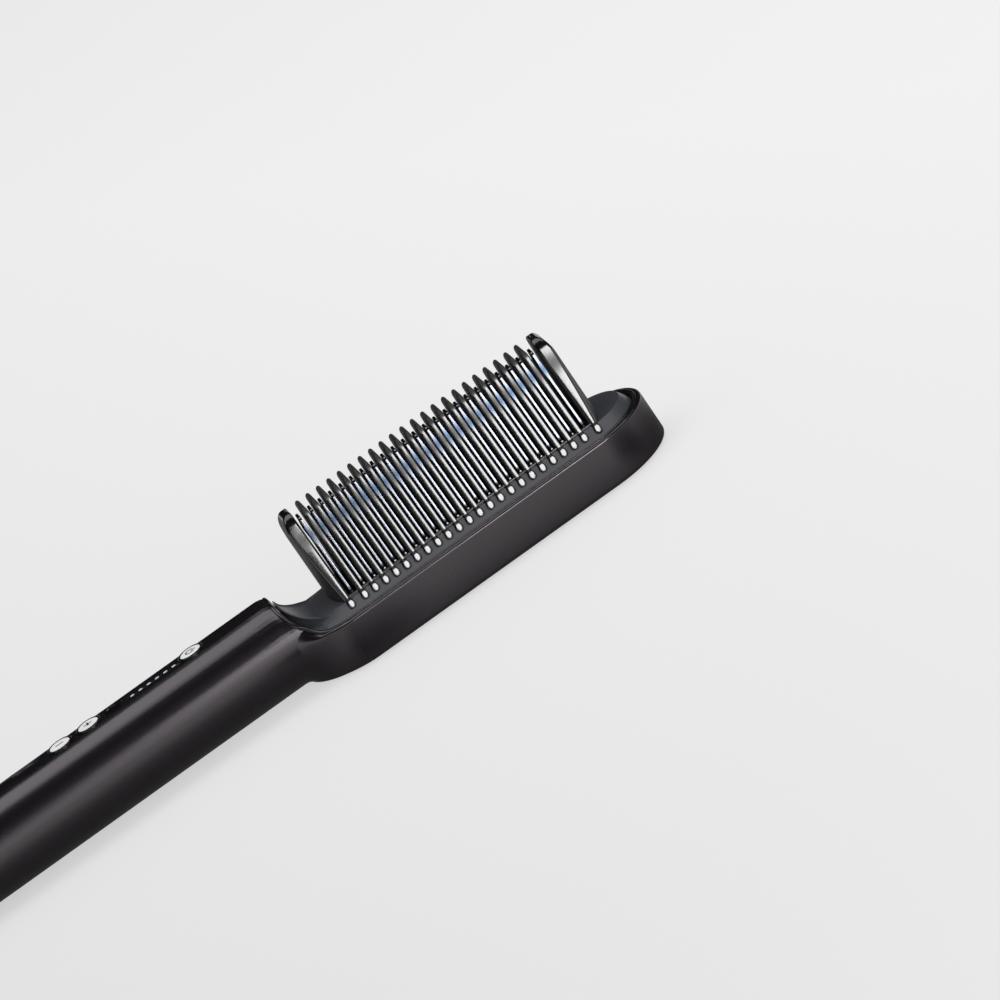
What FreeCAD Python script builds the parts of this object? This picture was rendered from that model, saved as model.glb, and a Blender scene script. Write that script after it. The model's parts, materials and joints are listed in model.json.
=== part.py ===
import FreeCAD, Part
import math
import os

V = FreeCAD.Vector

# Heated straightening comb brush, in millimetres.
# +X runs along the handle towards the head's tip, +Z is the comb side.
# The origin is the middle of the flat back panel that the brush lies on.

# ---- driving dimensions: head and handle ----
head_length = 136.0        # stadium-shaped head, tip to neck
head_width = 46.0
handle_dia = 29.7
back_clear = 0.65          # handle's underside above the back panel
handle_length = 133.0      # neck end of the head to the end ring
wall = 2.0                 # moulded wall of head and handle
rim_round = 1.0            # outer edge of the rim
back_round = 1.6           # outer edge of the back
back_step = 0.3            # shell's back edge sits this far above the panel
neck_blend = 2.0           # fillet where the handle runs into the head

# ---- driving dimensions: tray pocket and ledge ----
rim_width = 3.1            # outer wall face to the tray pocket
pocket_depth = 3.0         # rim to the ledge that carries the tray
ledge_width = 5.5
ledge_thickness = 2.2
bulkhead = 2.0             # wall between the scoop and the handle's bore
tray_gap = 0.4             # open joint line between shell and tray
mouth_radius = 20.0        # hollow cut that opens the handle's end above the tray
mouth_inset = 12.0         # head neck end to the foot of that cut, at the rim
mouth_lip = 1.7            # foot of the cut to the pocket's neck end
mouth_corner = 3.5         # pocket's corners at its neck end

# ---- driving dimensions: tray ----
tray_drop = 0.6            # tray edge below the rim
pad_height = 2.9           # raised pad above the rim
pad_slope = 4.9            # width of the slope between tray edge and pad
pad_tip_inset = 5.8        # head tip to pad tip
pad_neck_inset = 13.8      # head neck end to the level pad's end
pad_thickness = 2.0
tongue_inset = 6.2         # head neck end to the tongue's point
tongue_run = 20.0          # length over which the tongue narrows
tongue_radius = 13.0       # hollow of the tongue
tongue_drop = 0.9          # tongue's low end below the pad
band_sink = 0.6            # band beside the tongue, below the shell's cut
tongue_cap = 0.7           # tray stays this far inside the handle's surface
neck_fit = 0.2             # tray in the handle's bore

# ---- driving dimensions: comb ----
tooth_count = 22
tooth_pitch = 3.93
tooth_thickness = 1.9
tooth_tip = 0.6            # thickness left at the very tip
tooth_taper = 2.6          # length of the tapered tip
tooth_height = 30.1        # above the pad
tooth_top_half = 5.5       # half width at the top
tooth_corner = 2.5
comb_shift = 3.25          # comb's middle, from the head's middle towards the tip
guard_gap = 3.9            # end tooth to guard face
guard_thickness = 5.0
guard_edge = 2.2           # guard's thickness at its long edges
guard_rise = 0.6           # guard above the teeth
guard_round = 10.4         # height of the rounded shoulder
guard_crown = 1.8          # flat left at the guard's top
guard_corner = 4.9         # corner radius of a guard, seen along the comb
rail_width = 2.6
rail_height = 1.1
rail_inset = 0.4           # rail to the pad's edge
foot_dia = 2.8
foot_reach = 2.0           # foot beyond the pad's edge
foot_root = 2.5            # foot inside the pad's edge
foot_lift = 0.3

# ---- driving dimensions: heating plate ----
blade_thickness = 0.9
blade_recess = 4.2         # blade's foot behind the teeth's edges
blade_top_recess = 2.5
blade_drop = 2.9           # blade's top below the teeth's tips
blade_foot = 1.2           # straight foot above the pad
blade_corner = 1.5
blade_root = 0.5           # blade inside the plate
bead_thickness = 1.45
bead_height = 4.0
bead_level = 19.6          # bead above the pad
plate_thickness = 2.5
plate_margin = 2.2         # plate inside the pad's edge
plate_overhang = 5.0       # plate beyond the guards' inner faces
plate_gap = 0.2            # plate in the tray's pocket, all round
slot_clearance = 0.8       # blade ends to the tray's opening
slot_end_clearance = 0.4   # tray's opening short of the guards
boss_dia = 5.0
boss_inset = 2.7           # boss to the plate's end

# ---- driving dimensions: heater ----
chip_count = 4             # heating ceramics between two electrodes
chip_gap = 3.0
chip_thickness = 2.1
heater_margin = 4.5        # heater to a boss
electrode_thickness = 0.4
tab_length = 4.0
tab_width = 2.4
tab_spread = 3.5           # contact tabs, from the middle plane
film_thickness = 0.3
film_margin = 0.5          # insulation beyond the electrodes' ends
clamp_thickness = 1.2
clamp_width = 9.0
thermistor_dia = 2.4
thermistor_length = 6.0
fuse_dia = 4.0
fuse_length = 10.0
fuse_wire_dia = 1.0
fuse_wire = 4.0            # bare wire at each end
sensor_gap = 1.1           # heater to the fuse beside it
sensor_edge = 0.8          # fuse to the plate's long edge

# ---- driving dimensions: screws ----
screw_dia = 2.0
screw_clearance = 0.4      # on the diameter of a through hole
screw_head_dia = 4.0
screw_head = 1.5
cross_length = 2.4         # cross recess in a head
cross_width = 0.5
cross_depth = 0.9
tray_screw_edge = 2.2      # ledge's inner edge to the screws that hold the tray
tray_screw_grip = 1.8      # screw in the tray
tray_screw_inset = 5.0     # outer tray screws, from the round ends' centres
comb_screw_grip = 5.0      # screw in a guard
comb_screw_spread = 7.0    # comb screws, from the middle plane
comb_screw_depth = 1.7     # comb screws, from the guards' inner faces

# ---- driving dimensions: back ----
ring_margin = 1.3          # black edge of the shell around the trim ring
ring_side = 3.4            # trim ring's width at the straight sides
ring_end = 4.1             # and at the round ends
ring_fit = 0.05
ring_bevel = 1.0
ring_seat = 1.2            # width of the ledge that carries the panel
ring_seat_thickness = 1.0
panel_gap = 0.6
panel_thickness = 2.0
panel_crown = 0.7
panel_crown_width = 5.1    # sloped border around the panel's flat
shield_thickness = 1.0
shield_gap = 0.5           # heat shield to the screws above it
shield_margin = 3.0        # heat shield inside the panel's edge
shield_overhang = 2.0      # heat shield beyond the heating plate
post_dia = 4.0
post_inset = 8.2           # posts inside the panel's edge
post_spread = 34.0         # posts, from the head's middle

# ---- driving dimensions: controls ----
flat_depth = 0.95          # flat below the handle's top line
flat_end = 88.0            # neck end of the head to where the flat runs out
flat_runout = 4.0          # length of the run-out for each unit of depth
panel_start = 16.5         # neck end of the head to the control strip
strip_length = 62.5
strip_fit = 0.05
strip_ledge = 0.45         # ledge that carries the strip
strip_ledge_end = 2.0
strip_thickness = 1.0
button_dia = 7.2
button_proud = 0.8
button_edge = 0.35         # rounded edge of a button
button_flange_lip = 0.6
button_flange = 0.8
button_travel = 0.5
button_play = 0.05         # flange below the strip
button_root = 0.3          # cap below the strip's underside
flange_room = 0.3          # flange to the slot in the handle
stem_length = 0.25
bore_gap = 0.3             # button to strip, all round
power_place = 23.3         # control places, from the neck end of the head
light_place = 29.9
light_count = 6
light_pitch = 3.1
light_dia = 1.5
light_fit = 0.05
light_bar = 1.5            # thickness of the bar that joins the light pins
light_bar_width = 2.4
light_leg_dia = 1.8
lens_place = 52.6
lens_dia = 6.3
lens_lip = 0.55
lens_lip_thickness = 0.8
lens_leg_dia = 2.5
plus_place = 61.6
minus_place = 72.2

# ---- driving dimensions: circuit board ----
board_start = 12.0         # neck end of the head to the board
board_length = 86.0
board_margin = 0.96        # board's edge to the handle's bore
board_thickness = 1.6
groove_gap = 0.05          # board in its grooves
groove_side_gap = 0.1
rail_lip = 1.0
rail_thick = 1.2
rail_root = 0.2            # board rails sunk into the handle's wall
switch_size = 6.0
switch_height = 3.4
plunger_dia = 3.4
plunger_gap = 0.1
plunger_rise = 0.8
stem_margin = 0.2          # button's stem inside the plunger's edge
dome_thickness = 0.2
dome_room = 0.6            # below a pressed plunger
led_length = 1.4
led_width = 2.2
led_height = 0.9
led_gap = 0.1              # lamp to the light guide above it
status_led_size = 3.2
status_led_height = 1.2
chip_place = 30.0          # board's front edge to the controller chip
chip_body = (10.0, 4.0, 1.5)
chip_lift = 0.2
chip_legs = 8              # on each side
chip_leg_pitch = 1.27
chip_leg = (0.4, 1.2, 0.9)
triac_place = 14.0         # places of the parts below are their centres
triac_body = (6.6, 6.0, 2.3)
triac_tab = (5.2, 1.4, 0.6)
film_capacitor_place = 48.0
film_capacitor_body = (13.0, 6.0, 10.0)
storage_capacitor_place = 64.0
storage_capacitor_dia = 8.0
storage_capacitor_length = 12.0
board_fuse_place = 76.0
board_fuse_dia = 4.0
board_fuse_length = 8.0
fuse_cap_dia = 5.0
fuse_cap = 3.0

# ---- driving dimensions: tail ----
end_ring_length = 8.0
end_ring_wall = 1.5
end_ring_chamfer = 0.6
key_width = 9.7            # key of the plug in the ring's notch
key_fit = 0.05
plug_fit = 0.05
plug_step = 0.4            # plug's face inside the ring's end
plug_length = 20.0
neck_dia = 13.8            # swivel's visible neck
neck_seat = 6.0            # neck's depth inside the ring
neck_gap = 0.2
spigot_dia = 9.0
spigot_gap = 0.1
spigot_length = 13.0
plug_web = 3.0             # wall that carries the swivel
swivel_reach = 9.4         # swivel beyond the ring
arm_wall = 0.9
arm_reach = 15.5
cord_bore_dia = 4.6
cord_bore_depth = 11.0
wire_bore_dia = 4.0
washer_thickness = 0.5
clip_gap = 0.2
clip_thickness = 0.8
clip_width = 1.5           # clip and washer beyond the spigot
clip_depth = 0.7           # groove in the spigot
clip_mouth = 5.0
slip_ring_wall = 0.7
slip_ring_width = 1.6
slip_ring_pitch = 3.0
slip_ring_start = 1.2      # clip to the first slip ring
contact_gap = 0.1
contact_length = 1.2
contact_height = 3.0
contact_room = 2.8         # slip ring to the plug's bore

# ---- driving dimensions: leads ----
lead_dia = 1.8
sensor_lead_dia = 1.2
lead_gap = 0.2             # supply leads to the plug's bore
lead_inset = 4.0           # board's ends to the leads
lead_drop = 2.0            # first bend below the handle's axis
lead_sink = 3.5            # leads below the ledge that they pass under
lead_run = 9.0             # straight stretch in the head, and before a tab
tab_gap = 0.4              # lead's end to the electrodes
sensor_lead_inset = 8.0
sensor_lead_room = 1.0     # to the heater's lead beside it
sensor_lead_run = 24.0     # straight stretch before the thermistor

# ---- places that follow from the sizes ----
handle_r = handle_dia / 2
axis_z = handle_r + back_clear      # the rim and the handle's axis are at one height
bore_r = handle_r - wall
neck_x = -head_length / 2
tip_x = head_length / 2
end_centre = head_length / 2 - head_width / 2      # centre of the head's round ends
ring_x = neck_x - handle_length
tail_x = ring_x - end_ring_length

handle_top = axis_z + handle_r

ledge_top = axis_z - pocket_depth
ledge_bottom = ledge_top - ledge_thickness
tray_inset = rim_width + tray_gap
mouth_x = neck_x + mouth_inset + math.sqrt(mouth_radius ** 2 - handle_r ** 2)
pocket_x0 = neck_x + mouth_inset + mouth_lip
tray_half_width = head_width / 2 - tray_inset
tray_edge_z = axis_z - tray_drop
pad_half_width = tray_half_width - pad_slope
pad_z = axis_z + pad_height

row_half = tooth_pitch * (tooth_count - 1) / 2
guard_face = row_half + guard_gap
guard_height = tooth_height + guard_rise
tooth_places = [comb_shift - row_half + i * tooth_pitch for i in range(tooth_count)]

plate_top = pad_z - pad_thickness
plate_bottom = plate_top - plate_thickness
plate_half_width = pad_half_width - plate_margin
plate_half_length = guard_face + plate_overhang
blade_half_base = pad_half_width - blade_recess
blade_half_top = tooth_top_half - blade_top_recess
boss_reach = plate_half_length - boss_inset
boss_places = [(comb_shift - boss_reach, 0), (comb_shift + boss_reach, 0)]

upper_electrode = plate_bottom - film_thickness - electrode_thickness
chip_bottom = upper_electrode - chip_thickness
lower_electrode = chip_bottom - electrode_thickness
clamp_top = lower_electrode - film_thickness
clamp_bottom = clamp_top - clamp_thickness
heater_half_length = boss_reach - boss_dia / 2 - heater_margin
chip_length = (2 * heater_half_length - (chip_count - 1) * chip_gap) / chip_count
sensor_offset = plate_half_width - sensor_edge - fuse_dia / 2
chip_width = 2 * (sensor_offset - fuse_dia / 2 - sensor_gap)

panel_half_width = head_width / 2 - ring_margin - ring_side - panel_gap
panel_half_length = head_length / 2 - ring_margin - ring_end - panel_gap
ring_top = panel_thickness + ring_seat_thickness
shield_level = clamp_bottom - screw_head - shield_gap - shield_thickness

flat_z = handle_top - flat_depth
strip_z = flat_z - strip_thickness
strip_x1 = neck_x - panel_start
strip_x0 = strip_x1 - strip_length
button_flange_dia = button_dia + 2 * button_flange_lip
slot_half_width = button_flange_dia / 2 + flange_room
strip_half_width = slot_half_width + strip_ledge
flange_top = strip_z - button_play
plunger_top = flange_top - button_flange - stem_length
switch_top = plunger_top - plunger_rise
board_top = switch_top - switch_height
board_z = board_top - board_thickness
board_x1 = neck_x - board_start
board_x0 = board_x1 - board_length
board_half_width = math.sqrt(bore_r ** 2 - (board_top - axis_z) ** 2) - board_margin
plunger_bottom = switch_top - plunger_rise - button_travel
dome_z = plunger_bottom - dome_room - dome_thickness
button_places = {"power": neck_x - power_place, "plus": neck_x - plus_place,
                 "minus": neck_x - minus_place}
light_places = [neck_x - light_place - i * light_pitch for i in range(light_count)]
lens_x = neck_x - lens_place

seat_x = tail_x + neck_seat
neck_floor = seat_x + neck_gap
web_end = neck_floor + plug_web
arm_dia = cord_bore_dia + 2 * arm_wall
swivel_end = tail_x - swivel_reach
arm_x = swivel_end + arm_dia / 2
clip_x = web_end + washer_thickness + clip_gap
clip_dia = spigot_dia + 2 * clip_width
groove_dia = spigot_dia - 2 * clip_depth
slip_ring_dia = spigot_dia + 2 * slip_ring_wall
plug_bore_dia = slip_ring_dia + 2 * contact_room
first_slip_ring = clip_x + clip_thickness + slip_ring_start + slip_ring_width / 2
slip_ring_places = [first_slip_ring, first_slip_ring + slip_ring_pitch]


# ---- small helpers ----
def save(name, shape):
    shape = shape.removeSplitter() if shape.ShapeType != "Compound" else shape
    shape.exportStep(os.path.join("parts", name + ".step"))


def box(x0, x1, y0, y1, z0, z1):
    return Part.makeBox(x1 - x0, y1 - y0, z1 - z0, V(x0, y0, z0))


def rod_x(dia, x0, x1, y=0.0, z=axis_z):
    return Part.makeCylinder(dia / 2, x1 - x0, V(x0, y, z), V(1, 0, 0))


def rod_y(dia, y0, y1, x, z):
    return Part.makeCylinder(dia / 2, y1 - y0, V(x, y0, z), V(0, 1, 0))


def rod_z(dia, z0, z1, x, y=0.0):
    return Part.makeCylinder(dia / 2, z1 - z0, V(x, y, z0), V(0, 0, 1))


def stadium_wire(x0, x1, half_width, z):
    """Outline with two straight sides and round ends, from x0 to x1."""
    a, b, r = x0 + half_width, x1 - half_width, half_width
    edges = [
        Part.makeLine(V(a, -r, z), V(b, -r, z)),
        Part.Arc(V(b, -r, z), V(b + r, 0, z), V(b, r, z)).toShape(),
        Part.makeLine(V(b, r, z), V(a, r, z)),
        Part.Arc(V(a, r, z), V(a - r, 0, z), V(a, -r, z)).toShape(),
    ]
    return Part.Wire(edges)


def stadium(x0, x1, half_width, z0, z1):
    return Part.Face(stadium_wire(x0, x1, half_width, z0)).extrude(V(0, 0, z1 - z0))


def head_stadium(inset, z0, z1):
    return stadium(neck_x + inset, tip_x - inset, head_width / 2 - inset, z0, z1)


def loft(low, high):
    return Part.makeLoft([low, high], True, True)


def profile(edges, direction):
    return Part.Face(Part.Wire(edges)).extrude(direction)


def polygon(points, direction):
    return Part.Face(Part.makePolygon(points + [points[0]])).extrude(direction)


def rounded_outline(points, radii):
    """Edges of a closed outline whose corners are arcs of the given radii."""
    edges, count, ends = [], len(points), []
    for i, corner in enumerate(points):
        before = (points[i - 1] - corner).normalize()
        after = (points[(i + 1) % count] - corner).normalize()
        if radii[i] == 0:
            ends.append((corner, corner))
            continue
        half = before.getAngle(after) / 2
        reach = radii[i] / math.tan(half)
        middle = (before + after).normalize()
        centre = corner + middle * (radii[i] / math.sin(half))
        start, end = corner + before * reach, corner + after * reach
        ends.append((start, end))
        edges.append(Part.Arc(start, centre - middle * radii[i], end).toShape())
    for i in range(count):
        start, end = ends[i][1], ends[(i + 1) % count][0]
        if start.distanceToPoint(end) > 1e-6:
            edges.append(Part.makeLine(start, end))
    return Part.__sortEdges__(edges)


def edges_at_z(shape, z):
    return [e for e in shape.Edges if abs(e.BoundBox.ZMin - z) < 1e-4 and abs(e.BoundBox.ZMax - z) < 1e-4]


def tube_path(points):
    """Straight runs joined by tangent arcs, as large as the runs allow."""
    edges, here = [], points[0]
    for i in range(1, len(points) - 1):
        before, corner, after = points[i - 1], points[i], points[i + 1]
        back = (before - corner).normalize()
        ahead = (after - corner).normalize()
        reach = 0.45 * min((before - corner).Length, (after - corner).Length)
        start, end = corner + back * reach, corner + ahead * reach
        half = back.getAngle(ahead) / 2
        radius = reach * math.tan(half)
        middle = (back + ahead).normalize()
        centre = corner + middle * (reach / math.cos(half))
        edges.append(Part.makeLine(here, start))
        edges.append(Part.Arc(start, centre - middle * radius, end).toShape())
        here = end
    edges.append(Part.makeLine(here, points[-1]))
    return Part.Wire(edges)


def lead(points, dia):
    path = tube_path(points)
    start = (points[1] - points[0]).normalize()
    ring = Part.Wire([Part.makeCircle(dia / 2, points[0], start)])
    return path.makePipeShell([ring], True, True)


def block(size, x, y, top):
    """Box of a given size, centred on x and y, hanging from top."""
    length, width, height = size
    return box(x - length / 2, x + length / 2, y - width / 2, y + width / 2, top - height, top)


# ---- head and handle shell ----
def neck_crease(shape):
    """Edges where the handle runs into the head's round end."""
    reach = handle_r / 2
    return [e for e in shape.Edges if neck_x - 1 < e.BoundBox.XMin < neck_x + reach
            and e.BoundBox.XMax < -end_centre and e.BoundBox.ZMax < axis_z + 0.01]


def shell_outside():
    head = head_stadium(0, back_step, axis_z)
    head = head.makeFillet(rim_round, edges_at_z(head, axis_z))
    head = head.makeFillet(back_round, edges_at_z(head, back_step))
    handle = rod_x(handle_dia, ring_x, -end_centre)
    both = head.fuse(handle)
    return both.makeFillet(neck_blend, neck_crease(both))


def control_flat():
    """Wedge that flattens the handle's top and runs out towards the tail."""
    far = neck_x - flat_end
    out = far - flat_runout * flat_depth
    reach = handle_dia
    points = [V(-end_centre, -reach, flat_z), V(far, -reach, flat_z), V(out, -reach, flat_z + flat_depth),
              V(out, -reach, flat_z + reach), V(-end_centre, -reach, flat_z + reach)]
    return polygon(points, V(0, 2 * reach, 0))


def mouth(shift):
    """Space above the rim and in front of the hollow cut, moved towards the tip by shift."""
    reach, end, roof = head_width, head_length, 2 * handle_top
    centre = V(mouth_x + shift, -reach, handle_top)
    low = V(neck_x + mouth_inset + shift, -reach, axis_z)
    high = centre - V(mouth_radius, 0, 0)
    middle = centre + ((low - centre) + (high - centre)).normalize() * mouth_radius
    corners = [high, V(high.x, -reach, roof), V(end, -reach, roof), V(end, -reach, axis_z), low]
    edges = [Part.Arc(low, middle, high).toShape()]
    edges += [Part.makeLine(corners[i], corners[i + 1]) for i in range(4)]
    return profile(edges, V(0, 2 * reach, 0))


def pocket(inset, x0, corner, z1):
    """Room for the tray: straight across at its neck end, with rounded corners there."""
    room = head_stadium(inset, ledge_top, z1).common(box(x0, tip_x, -head_width, head_width, 0, z1))
    edges = [e for e in room.Edges if e.BoundBox.XMax < x0 + 1e-4 and e.BoundBox.ZLength > 1
             and e.BoundBox.YLength < 1e-4]
    return room.makeFillet(corner, edges)


def shell_inside():
    """Everything that is hollow in the shell, as one tool."""
    bore = rod_x(2 * bore_r, ring_x - 1, -end_centre)
    high = axis_z + handle_dia
    kept = head_stadium(rim_width - bulkhead, ledge_bottom, high)
    inner = rod_x(2 * bore_r, neck_x, pocket_x0).common(head_stadium(rim_width, ledge_top, high))
    bore = bore.cut(kept)
    cavity = head_stadium(wall, 0, ledge_bottom)
    opening = head_stadium(wall + ledge_width, 0, high)
    tray_room = pocket(rim_width, pocket_x0, mouth_corner, axis_z + 1)
    ring_rebate = head_stadium(ring_margin, 0, ring_top)
    return bore.multiFuse([cavity, opening, inner, tray_room, mouth(0), ring_rebate])


def tray_screw_places():
    side = head_width / 2 - wall - ledge_width + tray_screw_edge
    reach = end_centre - tray_screw_inset
    return [(x, s * side) for x in (-reach, 0, reach) for s in (-1, 1)]


def board_rails():
    """Grooves on both sides of the bore that hold the board's edges."""
    inner = board_half_width - rail_lip
    side = board_half_width + groove_side_gap
    groove = box(board_x0 - 1, board_x1 + 1, -side, side, board_z, board_top + groove_gap)
    low, high = board_z - rail_thick, board_top + rail_thick
    left = box(board_x0, board_x1, -handle_r, -inner, low, high)
    right = box(board_x0, board_x1, inner, handle_r, low, high)
    return left.fuse(right).cut(groove).common(rod_x(2 * (bore_r + rail_root), board_x0, board_x1))


def body_shell():
    shell = shell_outside().cut(control_flat()).cut(shell_inside())
    high = axis_z + handle_dia
    recess = stadium(strip_x0 - strip_fit, strip_x1 + strip_fit, strip_half_width + strip_fit, strip_z, high)
    slot = stadium(strip_x0 + strip_ledge_end, strip_x1 - strip_ledge_end, slot_half_width, axis_z, high)
    shell = shell.cut(recess).cut(slot).fuse(board_rails())
    hole = screw_dia + screw_clearance
    holes = [rod_z(hole, ledge_bottom - 1, ledge_top + 1, x, y) for x, y in tray_screw_places()]
    return shell.cut(Part.makeCompound(holes))


# ---- comb tray ----
def pad_outline():
    low = stadium_wire(neck_x + tray_inset, tip_x - tray_inset, tray_half_width, tray_edge_z)
    high = stadium_wire(neck_x + pad_neck_inset, tip_x - pad_tip_inset, pad_half_width, pad_z)
    return loft(low, high)


def ramp(x_end, foot_z, radius, top_z):
    """Solid under a hollow that curves up towards the handle and ends at x_end."""
    reach = handle_r
    x_foot = x_end + radius
    side = radius * math.sqrt(0.5)
    low, high = V(x_foot, -reach, foot_z), V(x_end, -reach, foot_z + radius)
    middle = V(x_foot - side, -reach, foot_z + radius - side)
    far = neck_x
    edges = [Part.Arc(low, middle, high).toShape(),
             Part.makeLine(high, V(x_end, -reach, top_z)),
             Part.makeLine(V(x_end, -reach, top_z), V(far, -reach, top_z)),
             Part.makeLine(V(far, -reach, top_z), V(far, -reach, ledge_top)),
             Part.makeLine(V(far, -reach, ledge_top), V(x_foot, -reach, ledge_top)),
             Part.makeLine(V(x_foot, -reach, ledge_top), low)]
    return profile(edges, V(0, 2 * reach, 0))


def tongue_plan():
    """Pointed plan of the tongue: half an ellipse on the pad's width."""
    x_point = neck_x + tongue_inset
    x_wide = x_point + tongue_run
    ellipse = Part.Ellipse(V(x_wide, 0, ledge_top), tongue_run, pad_half_width)
    nose = Part.ArcOfEllipse(ellipse, math.pi / 2, 3 * math.pi / 2).toShape()
    closing = Part.makeLine(nose.Vertexes[0].Point, nose.Vertexes[-1].Point)
    return Part.Face(Part.Wire([nose, closing])).extrude(V(0, 0, handle_dia))


def neck_rod(radius):
    """The handle's inside, carried on into the head as far as the tray's tongue needs it."""
    return rod_x(2 * radius, neck_x + tray_inset, -end_centre)


def tray_neck():
    """Band and tongue that line the cut in the handle."""
    bore = neck_rod(bore_r - neck_fit)
    open_part = neck_rod(handle_r - tongue_cap).common(mouth(tray_gap))
    within = head_stadium(tray_inset, ledge_top, flat_z - tongue_cap)
    band = bore.cut(mouth(-band_sink)).common(within)
    tongue = ramp(neck_x + tongue_inset, pad_z - tongue_drop, tongue_radius, handle_top)
    tongue = tongue.common(tongue_plan()).common(within).common(open_part.fuse(bore))
    return [band, tongue]


def tray_solid():
    room = pocket(tray_inset, pocket_x0 + tray_gap, mouth_corner - tray_gap, pad_z + 1)
    room = room.fuse(neck_rod(bore_r - neck_fit))
    base = head_stadium(tray_inset, ledge_top, tray_edge_z).fuse(pad_outline())
    return base.common(room).multiFuse(tray_neck())


def comb_tray():
    """Raised pad with a slot for the blades, hollow below for the heating plate."""
    x0, x1 = comb_shift - guard_face, comb_shift + guard_face
    reach, side = plate_half_length + plate_gap, plate_half_width + plate_gap
    pocket = box(comb_shift - reach, comb_shift + reach, -side, side, ledge_top - 1, plate_top)
    half = blade_half_base + slot_clearance
    slot = box(x0 + slot_end_clearance, x1 - slot_end_clearance, -half, half, plate_top - 1, pad_z + 1)
    lead_way = box(neck_x + wall + ledge_width, x0, -half / 2, half / 2, ledge_top - 1, axis_z)
    grip = ledge_top + tray_screw_grip
    holes = [rod_z(screw_dia, ledge_top - 1, grip, x, y) for x, y in tray_screw_places()]
    through = screw_dia + screw_clearance
    bolts = [rod_z(through, plate_top - 1, pad_z + 1, x, y) for x, y in comb_screw_places()]
    tool = pocket.multiFuse([slot, lead_way] + holes + bolts)
    return tray_solid().cut(tool)


# ---- comb ----
def tooth_edge(height, top_half, corner):
    """Outline across the comb: wide foot on the pad, narrow rounded top."""
    z0, z1 = pad_z, pad_z + height
    points = [V(0, -pad_half_width, z0), V(0, pad_half_width, z0),
              V(0, top_half, z1), V(0, -top_half, z1)]
    return rounded_outline(points, [0, 0, corner, corner])


def tooth(x):
    half, tip = tooth_thickness / 2, tooth_tip / 2
    z1 = pad_z + tooth_height
    plate = profile(tooth_edge(tooth_height, tooth_top_half, tooth_corner), V(tooth_thickness, 0, 0))
    plate.translate(V(x - half, 0, 0))
    reach = head_width
    points = [V(x - half, -reach, 0), V(x - half, -reach, z1 - tooth_taper), V(x - tip, -reach, z1),
              V(x + tip, -reach, z1), V(x + half, -reach, z1 - tooth_taper), V(x + half, -reach, 0)]
    return plate.common(polygon(points, V(0, 2 * reach, 0)))


def foot(x, side):
    """Rounded root of a tooth that runs down the pad's sloped flank."""
    fall = (pad_z - tray_edge_z) / (tray_half_width - pad_half_width)
    start = V(x, side * (pad_half_width - foot_root), pad_z + foot_lift)
    end = V(x, side * (pad_half_width + foot_reach), pad_z - fall * foot_reach)
    root = Part.makeCylinder(foot_dia / 2, (end - start).Length, start, end - start)
    return root.fuse(Part.makeSphere(foot_dia / 2, end))


def guard_side():
    """Outline along the comb: flat inner face, shoulder rounded as a quarter ellipse."""
    t, z1, reach = guard_thickness, pad_z + guard_height, head_width
    centre = V(guard_crown, -reach, z1 - guard_round)
    top, low = centre + V(0, 0, guard_round), centre + V(t - guard_crown, 0, 0)
    shoulder = Part.ArcOfEllipse(Part.Ellipse(top, low, centre), 0, math.pi / 2).toShape()
    corners = [low, V(t, -reach, 0), V(0, -reach, 0), V(0, -reach, z1), top]
    sides = [Part.makeLine(corners[i], corners[i + 1]) for i in range(4)]
    return profile(Part.__sortEdges__([shoulder] + sides), V(0, 2 * reach, 0))


def guard_plan():
    """Plan of a guard: flat inside, convex outside."""
    t, edge, chord = guard_thickness, guard_edge, pad_half_width
    lens = [Part.Arc(V(edge, -chord, 0), V(t, 0, 0), V(edge, chord, 0)).toShape(),
            Part.makeLine(V(edge, chord, 0), V(0, chord, 0)),
            Part.makeLine(V(0, chord, 0), V(0, -chord, 0)),
            Part.makeLine(V(0, -chord, 0), V(edge, -chord, 0))]
    return profile(lens, V(0, 0, 2 * (pad_z + guard_height)))


def guard(outward):
    """Thick end plate of the comb."""
    outline = tooth_edge(guard_height, tooth_top_half, guard_corner)
    solid = profile(outline, V(guard_thickness, 0, 0)).common(guard_plan()).common(guard_side())
    if outward < 0:
        solid = solid.mirror(V(0, 0, 0), V(1, 0, 0))
    solid.translate(V(comb_shift + outward * guard_face, 0, 0))
    return solid


def comb_screw_places():
    """Two screws under each end guard."""
    x = guard_face + comb_screw_depth
    return [(comb_shift + s * x, t * comb_screw_spread) for s in (-1, 1) for t in (-1, 1)]


def comb_frame():
    """Teeth, side rails and end guards, moulded in one."""
    reach = guard_face + guard_edge / 2
    ends = [comb_shift - reach, comb_shift + reach]
    pieces = [guard(-1), guard(1)]
    outer = pad_half_width - rail_inset
    for y in (rail_width - outer, outer):
        pieces.append(box(*ends, y - rail_width, y, pad_z, pad_z + rail_height))
    pieces += [tooth(x) for x in tooth_places]
    pieces += [foot(x, side) for x in tooth_places + ends for side in (-1, 1)]
    frame = pieces[0].multiFuse(pieces[1:])
    below = box(-head_length, head_length, -pad_half_width, pad_half_width, 0, pad_z)
    frame = frame.cut(tray_solid().fuse(below))
    grip = pad_z + comb_screw_grip
    holes = [rod_z(screw_dia, pad_z - 1, grip, x, y) for x, y in comb_screw_places()]
    return frame.cut(Part.makeCompound(holes))


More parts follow.
